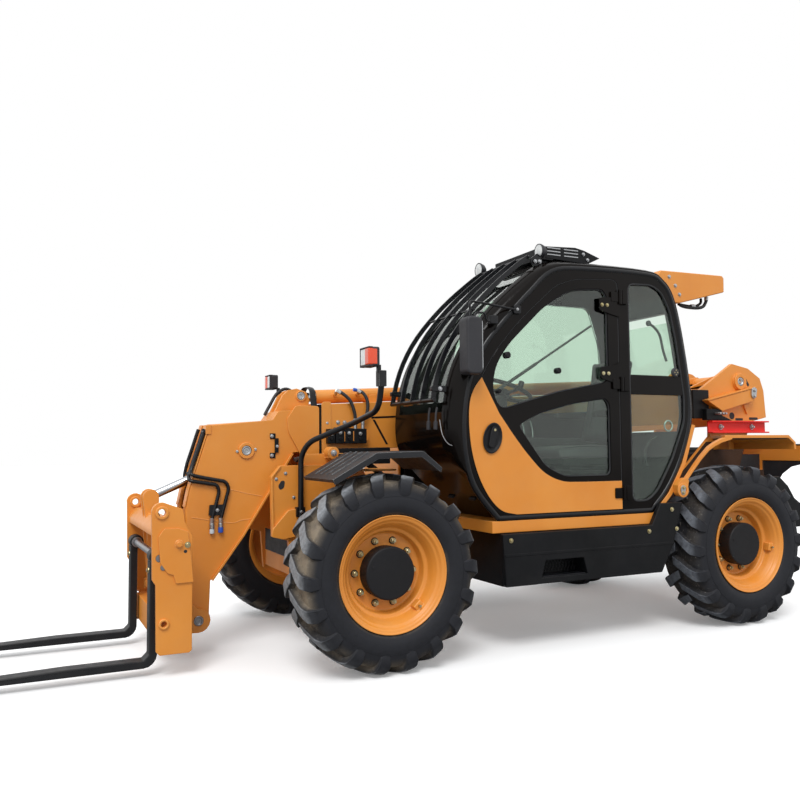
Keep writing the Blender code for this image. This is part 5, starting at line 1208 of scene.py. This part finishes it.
def frame_front():
    plates, dark, silver, lines = [], [], [], []
    for side in SIDES:
        out = side * FRAME_OUT
        # painted shade: a thin dark sheet on the plate for the shade inside its pear-shaped hole
        pear = rounded([(0.41, 1.048), (0.438, 1.034), (0.45, 1.06), (0.428, 1.096), (0.404, 1.092)], 0.012)
        dark.append(plate(pear, side, FRAME_OUT - 0.001, FRAME_OUT + 0.0012, edge=0))
        gusset = rounded([(0.498, 0.742), (0.42, 0.722), (0.318, 0.74), (0.306, 0.918), (0.388, 0.905),
            (0.49, 0.79)], 0.012)
        plates.append(plate(gusset, side, FRAME_OUT - 0.001, FRAME_OUT + 0.022, edge=0.006))
        rim = [(0.381, 0.712), (0.488, 0.74), (0.498, 1.12), (0.44, 1.19), (0.432, 1.184), (0.486, 1.116),
            (0.477, 0.75), (0.376, 0.722)]
        plates.append(plate(rim, side, FRAME_OUT - 0.001, FRAME_OUT + 0.012, edge=0.003))
        silver += bolts([(0.4, 1.14), (0.462, 1.105), (0.345, 0.985)], out, side, 0.008)
        plates.append(plate([(-0.11, 1.188), (0.3, 1.188), (0.27, 1.262), (-0.06, 1.266)], side, 0.302,
            0.314, edge=0.003))
        for y, z in ((0.2, 1.228), (0.232, 1.22), (0.262, 1.232)):
            lines.append(tube(curve([(0.3, side * y, z), (0.05, side * y, z + 0.01),
                (-0.18, side * y, z - 0.02), (-0.42, side * y, z - 0.2), (-0.62, side * y, z - 0.33)], 5),
                0.0125))
    # the eye of the steering pump's bracket, pinned beside the frame
    eye_boss = pin(0.092, 1.268, 0.3, 0.392, 0.04, sides=32, edge=0.004)
    neck = slab([(0.058, 1.235), (0.126, 1.235), (0.118, 1.27), (0.066, 1.27)], 0.306, 0.38)
    plates += [eye_boss, neck]
    silver += bolts([(0.092, 1.268)], 0.392, 1, 0.015)
    tray = [plate([(-0.36, 1.19), (0.085, 1.19), (0.085, 1.296), (-0.36, 1.302)], side, 0.215, 0.298,
        edge=0.006) for side in SIDES]
    put("hose_trays", BLACK, "chassis", *tray)
    put("frame_front_plates", ORANGE, "chassis", *plates)
    # painted shade: a thin dark sheet across the front for the shade inside its slot
    dark.append(box((0.3495, 0.3535), (-0.285, 0.285), (0.59, 0.738), edge=0.001))
    put("frame_hole_shade_and_hoses", HOSE, "chassis", *dark, *lines)
    put("frame_bolts", ALLOY, "chassis", *silver)
    # painted shade in the rear wheel arch: dark brown sheets under the fender's top and over the frame's side
    # beneath it
    arch = [(-2.7, 1.06), (-3.335, 1.06), (-3.335, 0.46), (-3.21, 0.46), (-2.72, 0.995)]
    skins = [slab(arch, 1.3405, 1.3478, along="z", edge=0.001)]
    for side in SIDES:
        side_skin = copy_of("chassis_frame")
        bmesh.ops.delete(side_skin, geom=[f for f in side_skin.faces if f.normal.y * side < 0.99
            or abs(f.calc_center_median().y - side * FRAME_OUT) > 0.002], context="FACES")
        for spot, way in (((-2.75, 0, 0), (1, 0, 0)), ((0, 0, 1.325), (0, 0, 1))):
            sliced(side_skin, spot, way, clear_outer=True)
        pushed(side_skin, side_skin.faces[:], (0, side * 0.0012, 0))
        skins.append(closed(side_skin))
    put("rear_arch_painted_shade", ARCH_SHADE, "chassis", *skins)


turret()
tail()
front_fenders()
frame_front()


# ---- tank, deck and engine side ------------------------------------------------------------------------
def tank():
    shape = copy_of("side_tank")
    eased(shape, 0.005, edges=[e for e in sharp_edges(shape, 40) if e.calc_length() > 0.02], clamp=False)
    crease = slab([(-0.785, 0.615), (-0.782, 0.632), (-2.176, 0.632), (-2.17, 0.615)], 1.056, 1.0632,
        edge=0.0015)
    lower = slab([(-0.79, 0.43), (-0.786, 0.612), (-1.055, 0.612), (-1.02, 0.43)], 1.058, 1.0625,
        edge=0.001)
    put("side_tank_eased", BLACK, "chassis", shape, crease, lower, hides=["side_tank"])
    # expanded-metal tread at the back of the step
    strips = []
    for k in range(13):
        x = -1.085 - k * 0.026
        strips.append(bar((x, 0.945, 0.478), (x - 0.03, 0.945, 0.568), 0.0028, sides=6))
        strips.append(bar((x - 0.03, 0.945, 0.478), (x, 0.945, 0.568), 0.0028, sides=6))
    put("step_mesh", RIM_BLACK, "chassis", *strips, box((-1.41, -1.07), (0.94, 1.05), (0.47, 0.476),
        edge=0.001))
    put("tank_bolts", ZINC, "chassis", *bolts([(-0.83, 0.715), (-1.95, 0.715), (-2.16, 0.855),
        (-2.2, 0.72)], 1.06, 1, 0.011))


def engine_side():
    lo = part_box("engine_cover")[0] - MACHINE.translation
    slats = []
    face = lo.y
    for k in range(9):
        x = -1.72 + k * 0.075
        for j in range(5):
            z = (lo.z + 0.13 + j * 0.035, lo.z + 0.145 + j * 0.035)
            slats.append(box((x, x + 0.052), (face - 0.006, face + 0.004), z))
    put("engine_cover_louvres", BLACK, "engine_cover", *slats)
    handle = tube(bent([(-0.9, face, lo.z + 0.2), (-0.9, face - 0.03, lo.z + 0.2),
        (-0.9, face - 0.03, lo.z + 0.32), (-0.9, face, lo.z + 0.32)], 0.015), 0.007)
    put("engine_cover_handle", HUB_BLACK, "engine_cover", handle)


tank()
engine_side()


# ---- guard, lamps and mirror ---------------------------------------------------------------------------
GUARD_Y = (0.34, 0.49, 0.64, 0.78, 0.925)


def guard():
    first = next(i for i, p in enumerate(body_line) if p[1] > 1.53 and p[0] > -0.9)
    last = max(i for i, p in enumerate(body_line) if p[0] > -1.16 and p[1] > 2.0)
    outer, inner = grown(body_line, 0.088)[first:last + 1], grown(body_line, 0.056)[first:last + 1]
    middle = grown(body_line, 0.07)[first:last + 1]
    strip = outer + inner[::-1]
    bars = [slab(strip, y - 0.006, y + 0.006, edge=0.0025) for y in GUARD_Y]
    for k, size in ((0, 0.0135), (len(middle) // 2, 0.008), (len(middle) - 1, 0.012)):
        x, z = middle[k]
        bars.append(pin(x, z, GUARD_Y[0] - 0.02, GUARD_Y[-1] + 0.02, size, sides=16, edge=0.002))
    # feet on the cab's front, with the clip on the near one
    for y in (GUARD_Y[0], GUARD_Y[-1]):
        bars.append(slab(rounded([(-0.345, 1.648), (-0.345, 1.678), (-0.452, 1.684), (-0.452, 1.642)],
            0.008), y - 0.014, y + 0.014))
        bars.append(slab(rounded([(-1.1, 2.545), (-1.16, 2.59), (-1.2, 2.56), (-1.19, 2.5), (-1.12, 2.5)],
            0.012), y - 0.006, y + 0.006, edge=0.002))
    put("windscreen_guard_bars", RIM_BLACK, "chassis", *bars, hides=["windscreen_guard"])
    put("guard_bolts", ALLOY, "chassis", *bolts([(-0.405, 1.663), (-1.135, 2.53), (-1.17, 2.532)],
        GUARD_Y[-1] + 0.014, 1, 0.01))
    # two release levers and a cable's loop under the guard
    levers = []
    for x, y in ((-0.352, 0.9), (-0.372, 0.955)):
        levers.append(tube(curve([(x, y, 1.545), (x + 0.008, y, 1.5), (x + 0.01, y, 1.455)], 5), 0.0065))
        levers.append(bar((x + 0.01, y, 1.462), (x + 0.012, y, 1.408), 0.0125, edge=0.004))
    put("guard_levers", PLASTIC, "chassis", *levers)
    loop = curve([(-0.395, 0.945, 1.47), (-0.402, 0.965, 1.38), (-0.43, 0.98, 1.325), (-0.47, 0.985, 1.312),
        (-0.5, 0.985, 1.345), (-0.505, 0.982, 1.405), (-0.49, 0.978, 1.43)], 6)
    put("guard_cable", ALLOY, "chassis", tube(loop, 0.0028, sides=8))


def round_lamp(place, radius):
    """A round work light that faces forward: (housing, lens)."""
    r = radius
    shell = spun([(-0.052, 0.0), (-0.052, r * 0.45), (-0.034, r * 0.8), (-0.006, r), (0.004, r),
        (0.004, r * 0.9), (-0.004, r * 0.88)], 40)
    lens_face = spun([(0.01, 0.0), (0.008, r * 0.45), (0.003, r * 0.88), (-0.004, r * 0.89)], 40)
    turn = at(*place) @ rotation(-90, "Z")
    return moved(shell, turn), moved(lens_face, turn)


def roof_lights():
    side = [(-1.232, 2.572), (-1.226, 2.652), (-1.5, 2.668), (-1.575, 2.655), (-1.712, 2.612), (-1.6, 2.56)]
    panel = [slab(side, 0.3, 0.9, edge=0.005)]
    for x in (-1.27, -1.6):
        for y in (0.36, 0.84):
            panel.append(box((x - 0.02, x + 0.02), (y - 0.015, y + 0.015), (2.545, 2.58)))
    shells, lenses = [], []
    for place, r in (((-1.182, 0.915, 2.61), 0.048), ((-1.085, 0.3, 2.596), 0.051)):
        shell, lens_face = round_lamp(place, r)
        shells.append(shell)
        lenses.append(lens_face)
        panel.append(bar((place[0] - 0.035, place[1], place[2] - r - 0.002),
            (place[0] - 0.035, place[1], place[2] - r + 0.02), 0.012))
        panel.append(box((place[0] - 0.1, place[0] - 0.01), (place[1] - 0.022, place[1] + 0.022),
            (place[2] - r - 0.012, place[2] - r - 0.002), edge=0.002))
    put("roof_light_panel", BLACK, "chassis", *panel, hides=["roof_light_bar"])
    put("roof_light_shells", PLASTIC, "chassis", *shells)
    put("roof_light_lenses", LENS_CLEAR, "chassis", *lenses)
    slots = []
    for z in (2.595, 2.618, 2.64):
        slots.append(box((-1.37, -1.26), (0.8995, 0.9035), (z, z + 0.008), edge=0.0015))
        slots.append(box((-1.52, -1.4), (0.8995, 0.9035), (z, z + 0.008), edge=0.0015))
    put("roof_light_slats", ALLOY, "chassis", *slots)
    put("roof_light_bolts", ALLOY, "chassis", *bolts([(-1.565, 2.626), (-1.6, 2.59)], 0.902, 1, 0.009),
        *bolts([(-1.565, 2.626)], 0.298, -1, 0.009))


def headlamps():
    for name, side in zip(("left", "right"), SIDES):
        foot_y = side * (FRAME_OUT + 0.035)
        post = bent([(0.31, foot_y, 0.86), (0.309, foot_y, 1.253), (0.27, side * 0.42, 1.341),
            (0.07, side * 0.65, 1.45), (0.02, side * 0.95, 1.523), (0.022, side, 1.68)], 0.09)
        put(f"headlamp_post_{name}", RIM_BLACK, "chassis", tube(post, 0.018, sides=18),
            box((0.28, 0.34), span(side, FRAME_OUT + 0.0005, FRAME_OUT + 0.045), (0.862, 0.925),
            edge=0.006), box((0.028, 0.052), span(side, 0.987, 1.013), (1.74, 1.79), edge=0.004),
            hides=[f"headlamp_{name}"])
        put(f"headlamp_bracket_{name}", FENDER_TOP, "chassis", box((-0.002, 0.048),
            span(side, 0.974, 1.024), (1.662, 1.757), edge=0.004))
        shell = slab(rounded(rect(side * 0.93, side * 1.066, 1.774, 1.89), 0.016, 4), 0.06, 0.112,
            along="x", edge=0.008, steps=3)
        put(f"headlamp_shell_{name}", PLASTIC, "chassis", shell,
            *[box((0.104, 0.132), span(side, a, b), (z0, z1)) for a, b, z0, z1 in
            ((0.93, 1.066, 1.774, 1.783), (0.93, 1.066, 1.881, 1.89), (0.93, 0.938, 1.776, 1.888))])
        put(f"headlamp_lens_{name}", LENS_CLEAR, "chassis", box((0.11, 0.13), span(side, 0.938, 1.004),
            (1.784, 1.88), edge=0.005, steps=3))
        put(f"headlamp_indicator_{name}", LENS_AMBER, "chassis",
            box((0.072, 0.1335), span(side, 1.007, 1.0665), (1.783, 1.881), edge=0.008, steps=3))
        put(f"headlamp_screws_{name}", ALLOY, "chassis", *bolts([(0.31, 0.895)], side * (FRAME_OUT + 0.045),
            side, 0.01))


def mirror():
    shell = slab(rounded([(-0.6, 1.742), (-0.6, 2.098), (-0.488, 2.098), (-0.488, 1.742)], 0.034, 6), 1.03,
        1.1395, edge=0.016, steps=4)
    bars = [tube(bent([(-0.552, 1.08, 2.075), (-0.54, 1.075, 2.2), (-0.64, 1.065, 2.196),
        (-0.905, 1.035, 2.176)], 0.03), 0.0075), tube(bent([(-0.572, 1.08, 2.075), (-0.58, 1.075, 2.128),
        (-0.655, 1.07, 2.135), (-0.672, 1.06, 2.085), (-0.76, 1.045, 2.082)], 0.02), 0.0065),
        box((-0.76, -0.705), (1.022, 1.062), (2.07, 2.125), edge=0.006),
        slab(rounded(rect(-0.948, -0.892, 2.15, 2.204), 0.012), 1.0203, 1.04)]
    put("mirror_shell", PLASTIC, "chassis", shell, hides=["mirror_left"])
    put("mirror_bars", RIM_BLACK, "chassis", *bars)
    put("mirror_glass", CHROME, "chassis", slab(rounded(rect(1.04, 1.13, 1.765, 2.078), 0.02, 4), -0.6025,
        -0.598, along="x", edge=0.0005))
    put("mirror_bolts", ALLOY, "chassis", *bolts([(-0.92, 2.178), (-0.732, 2.098)], 1.04, 1, 0.007))


guard()
roof_lights()
headlamps()
mirror()


# ---- inside the cab ------------------------------------------------------------------------------------
VOXEL = 0.009
STUFFING_STEPS = 20


def padded(name, shape, limit):
    """A stuffed pad: the shape remeshed, blown up as cloth, and held to within limit of where it was."""
    made = linked(name, mesh_of(moved(shape, MACHINE), name))

    def applied():
        solid = bpy.data.meshes.new_from_object(made.evaluated_get(bpy.context.evaluated_depsgraph_get()))
        made.modifiers.clear()
        old, made.data = made.data, solid
        bpy.data.meshes.remove(old)
    grid = made.modifiers.new("grid", "REMESH")
    grid.mode = "VOXEL"
    grid.voxel_size = VOXEL
    applied()
    cloth = made.modifiers.new("stuffing", "CLOTH")
    cloth.settings.use_pressure = True
    cloth.settings.uniform_pressure_force = 4
    cloth.settings.effector_weights.gravity = 0
    for step in range(1, STUFFING_STEPS + 1):
        bpy.context.scene.frame_set(step)
    still = [v.co.copy() for v in made.data.vertices]
    applied()
    for v, before in zip(made.data.vertices, still):
        shift = v.co - before
        if shift.length > limit:
            v.co = before + shift.normalized() * limit
    bpy.context.scene.frame_set(1)
    made.data.materials.clear()
    made.data.materials.append(VINYL)
    made.data.shade_smooth()
    finer = made.modifiers.new("finer", "SUBSURF")
    finer.levels = finer.render_levels = 1
    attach(made, "chassis")
    return made


def seam(pad, path, radius=0.0032):
    """Piping that lies on a pad along a path."""
    laid = [MACHINE.inverted() @ pad.closest_point_on_mesh(MACHINE @ Vector(p))[1] for p in path]
    return tube(laid + laid[:1], radius, sides=8, ends=False)


SEAT_Y = (0.445, 0.835)


def seat():
    cushion = padded("seat_cushion", slab(rounded([(-1.375, 1.222), (-1.365, 1.275), (-1.6, 1.29),
        (-1.835, 1.292), (-1.865, 1.222)], 0.02), *SEAT_Y, edge=0.022, steps=3), 0.016)
    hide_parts("driver_seat")
    back = padded("seat_back", slab(rounded([(-1.862, 1.33), (-1.985, 1.935), (-2.055, 1.925),
        (-1.965, 1.305)], 0.025), *SEAT_Y, edge=0.022, steps=3), 0.016)
    padded("seat_headrest", slab(rounded([(-2.02, 1.985), (-2.045, 2.15), (-2.095, 2.145), (-2.075, 1.975)],
        0.015), 0.535, 0.745, edge=0.016, steps=3), 0.012)
    rope = []
    for y in (0.47, 0.81):
        rope.append(seam(cushion, bent([(-1.38, y, 1.22), (-1.36, y, 1.31), (-1.6, y, 1.33),
            (-1.86, y, 1.32), (-1.88, y, 1.2)], 0.02)))
        rope.append(seam(back, bent([(-1.84, y, 1.32), (-1.97, y, 1.97), (-2.07, y, 1.96),
            (-1.98, y, 1.29)], 0.02)))
    for y in (0.56, 0.72):
        rope.append(seam(cushion, [(-1.39 - 0.04 * k, y, 1.33) for k in range(12)]
            + [(-1.83 + 0.04 * k, y + 0.004, 1.33) for k in range(12)], 0.002))
        rope.append(seam(back, [(-1.86 - 0.0105 * k, y, 1.37 + 0.05 * k) for k in range(11)]
            + [(-1.965 + 0.0105 * k, y + 0.004, 1.87 - 0.05 * k) for k in range(11)], 0.002))
    put("seat_seams", HUB_BLACK, "chassis", *rope)
    base = [box((-1.86, -1.42), (0.46, 0.82), (1.165, 1.215), edge=0.012, steps=3)]
    for k in range(5):
        base.append(box((-1.84 + 0.012 * (k % 2), -1.5 - 0.012 * (k % 2)),
            (0.49 + 0.01 * (k % 2), 0.79 - 0.01 * (k % 2)), (0.99 + k * 0.035, 1.026 + k * 0.035),
            edge=0.01))
    base.append(box((-1.88, -1.46), (0.47, 0.81), (0.885, 0.99), edge=0.01))
    for y in (0.43, 0.85):
        base.append(slab(rounded([(-1.98, 1.5), (-1.66, 1.5), (-1.66, 1.545), (-1.98, 1.56)], 0.018),
            y - 0.024, y + 0.024, edge=0.012, steps=3))
    base += [bar((-2.055, y, 1.93), (-2.065, y, 2.02), 0.007) for y in (0.6, 0.68)]
    put("seat_base", HUB_BLACK, "chassis", *base)


def controls():
    turn = at(-1.065, 0.64, 1.685) @ rotation(-22)
    wheel = [moved(ring_of(0.19, 0.0145, 14, 64), turn @ rotation(90, "X"))]
    for angle in (90, 210, 330):
        way = Vector((math.cos(math.radians(angle)), math.sin(math.radians(angle)), 0))
        wheel.append(bar(turn @ (way * 0.03 + Vector((0, 0, -0.025))), turn @ (way * 0.185), 0.011,
            sides=14))
    wheel.append(moved(bar((0, 0, -0.045), (0, 0, 0.006), 0.046, edge=0.008), turn))
    wheel.append(bar(turn @ Vector((0, 0.19, 0.0)), turn @ Vector((0, 0.19, 0.055)), 0.019, edge=0.008))
    put("steering_wheel", HUB_BLACK, "chassis", *wheel, hides=["steering_column"])
    column = [slab(rounded([(-0.8, 1.1), (-0.93, 1.1), (-1.055, 1.6), (-1.02, 1.655), (-0.985, 1.63)],
        0.02), 0.575, 0.705, edge=0.015, steps=3), box((-1.01, -0.93), (0.58, 0.7), (0.885, 1.25),
        edge=0.012), slab(rounded([(-0.66, 1.1), (-0.96, 1.1), (-0.98, 1.16), (-0.9, 1.235),
        (-0.68, 1.235)], 0.02), 0.42, 0.86, edge=0.015, steps=3),
        box((-2.08, -1.16), (0.315, 0.405), (0.885, 1.36), edge=0.018, steps=3)]
    levers, knobs = [], []
    for x, y, top in ((-1.32, 0.355, 1.52), (-1.42, 0.36, 1.49), (-1.5, 0.352, 1.5)):
        levers.append(tube(curve([(x, y, 1.35), (x + 0.01, y + 0.004, 1.43), (x + 0.035, y + 0.01, top)],
            5), 0.007))
        knobs.append(moved(spun([(-0.026, 0.0), (-0.024, 0.01), (-0.008, 0.019), (0.008, 0.021),
            (0.02, 0.014), (0.026, 0.0)], 24), at(x + 0.038, y + 0.012, top + 0.012) @ rotation(90, "X")))
    levers.append(tube(curve([(-1.03, 0.71, 1.62), (-1.03, 0.8, 1.64), (-1.06, 0.84, 1.645)], 5), 0.006))
    levers.append(tube(curve([(-1.03, 0.57, 1.62), (-1.03, 0.48, 1.64), (-1.06, 0.45, 1.645)], 5), 0.006))
    put("cab_consoles", PLASTIC, "chassis", *column)
    put("cab_levers", CHROME, "chassis", *levers)
    put("cab_lever_knobs", HUB_BLACK, "chassis", *knobs)
    pedals = [moved(box((-0.8, -0.7), (y - 0.035, y + 0.035), (0.98, 0.995), edge=0.004),
        at(-0.75, 0, 0.99) @ rotation(38) @ at(0.75, 0, -0.99)) for y in (0.5, 0.78)]
    put("cab_pedals", HOSE, "chassis", *pedals)
    grab = tube(bent([(-2.03, 0.965, 1.16), (-2.03, 0.94, 1.24), (-2.08, 0.93, 1.33), (-2.14, 0.95, 1.36)],
        0.03), 0.008)
    put("quarter_pull_ring", ALLOY, "chassis", moved(ring_of(0.036, 0.006, 10, 40),
        at(-2.217, 0.985, 1.438)))
    put("cab_grab_rail", HUB_BLACK, "chassis", grab)


seat()
controls()


def conditioner():
    spots = [(-2.29, 2.52), (-2.347, 2.459), (-2.385, 2.397)]
    put("air_conditioner_bolts", ALLOY, "chassis", *bolts(spots, 0.96, 1, 0.01),
        *bolts(spots, 0.36, -1, 0.01))
    path = curve([(-2.715, 0.9, 2.4119), (-2.713, 0.9, 2.395), (-2.708, 0.9, 2.375), (-2.676, 0.905, 2.338),
        (-2.625, 0.91, 2.322), (-2.56, 0.91, 2.318), (-2.49, 0.905, 2.322), (-2.452, 0.9, 2.333),
        (-2.447, 0.9, 2.3448)], 4)
    second = curve([(-2.7, 0.86, 2.405), (-2.69, 0.865, 2.37), (-2.63, 0.875, 2.342), (-2.55, 0.88, 2.336),
        (-2.46, 0.87, 2.345)], 6)
    put("air_conditioner_hoses", HOSE, "chassis", tube(path, 0.012, sides=14), tube(second, 0.01, sides=14),
        hides=["air_conditioner_hose"])
    put("air_conditioner_fittings", ALLOY, "chassis", bar((-2.714, 0.9, 2.414), (-2.712, 0.9, 2.386),
        0.0155, sides=6, edge=0.001), bar((-2.56, 0.892, 2.331), (-2.6, 0.892, 2.333), 0.017, sides=6,
        edge=0.001))
    vents = [box((-2.838, -2.828), (0.42 + k * 0.05, 0.455 + k * 0.05), (2.47, 2.54)) for k in range(10)]
    put("air_conditioner_vents", BLACK, "chassis", *vents)


conditioner()


# ---- camera, light and floor ---------------------------------------------------------------------------
EYE = Vector((1.984 + AXLE_X, 5.3328, 1.3094))
YAW, PITCH, ROLL = -0.448, 0.057, 0.008
ahead = Vector((math.sin(YAW) * math.cos(PITCH), -math.cos(YAW) * math.cos(PITCH), math.sin(PITCH)))
across = ahead.cross(Vector((0, 0, 1))).normalized()
above = across.cross(ahead)
level = Matrix((across, above, -ahead)).transposed()
lens = bpy.data.cameras.new("camera")
lens.lens = 36.315
lens.sensor_width = 36
camera = linked("camera", lens)
camera.matrix_world = Matrix.Translation(EYE) @ (level @ Matrix.Rotation(-ROLL, 3, "Z")).to_4x4()
scene = bpy.context.scene
scene.camera = camera
scene.view_settings.view_transform = "Standard"

sun = bpy.data.lights.new("soft_key", "SUN")
sun.energy = 1.65
sun.angle = math.radians(25)
linked("soft_key", sun).rotation_euler = Vector((0.45, 0.7, 1.0)).to_track_quat("Z", "Y").to_euler()


def chosen(tree, rays, other, straight, output):
    """Links a tree's output: straight for the rays named, other for the rest."""
    ray = add(tree, "LightPath")
    seen = (ray, rays[0])
    for kind in rays[1:]:
        seen = (add(tree, "Math", {0: seen, 1: (ray, kind)}, operation="MAXIMUM"), 0)
    both = add(tree, "MixShader", {0: seen, 1: (other, 0), 2: (straight, 0)})
    tree.links.new(both.outputs[0], tree.nodes[output].inputs["Surface"])


sky = bpy.data.worlds.new("studio")
scene.world = sky
sky.use_nodes = True
light = sky.node_tree.nodes["Background"]
light.inputs["Color"].default_value = (0.97, 0.985, 1.0, 1.0)
light.inputs["Strength"].default_value = 0.92
white = add(sky.node_tree, "Background", {"Color": (1.0, 1.0, 1.0, 1.0), "Strength": 1.0})
chosen(sky.node_tree, ("Is Camera Ray", "Is Transmission Ray", "Is Glossy Ray"), light, white,
    "World Output")

ground = bmesh.new()
bmesh.ops.create_grid(ground, x_segments=1, y_segments=1, size=60)
floor = linked("floor", mesh_of(ground, "floor"))
# painted studio floor, pale: it takes the shadow and lets the rest go white; what it casts back is greyer
PALE = coating("pale_studio_floor", ("#FAFAFA", "#F8F8F8"), (0.9, 1.0), spread=3.0,
    Emission_Color=(1, 1, 1, 1), Emission_Strength=0.16, Specular_IOR_Level=0.1)
grey = add(PALE.node_tree, "BsdfDiffuse", {"Color": linear("#969696")})
chosen(PALE.node_tree, ("Is Camera Ray", "Is Transmission Ray"), grey,
    PALE.node_tree.nodes["Principled BSDF"], "Material Output")
floor.data.materials.append(PALE)
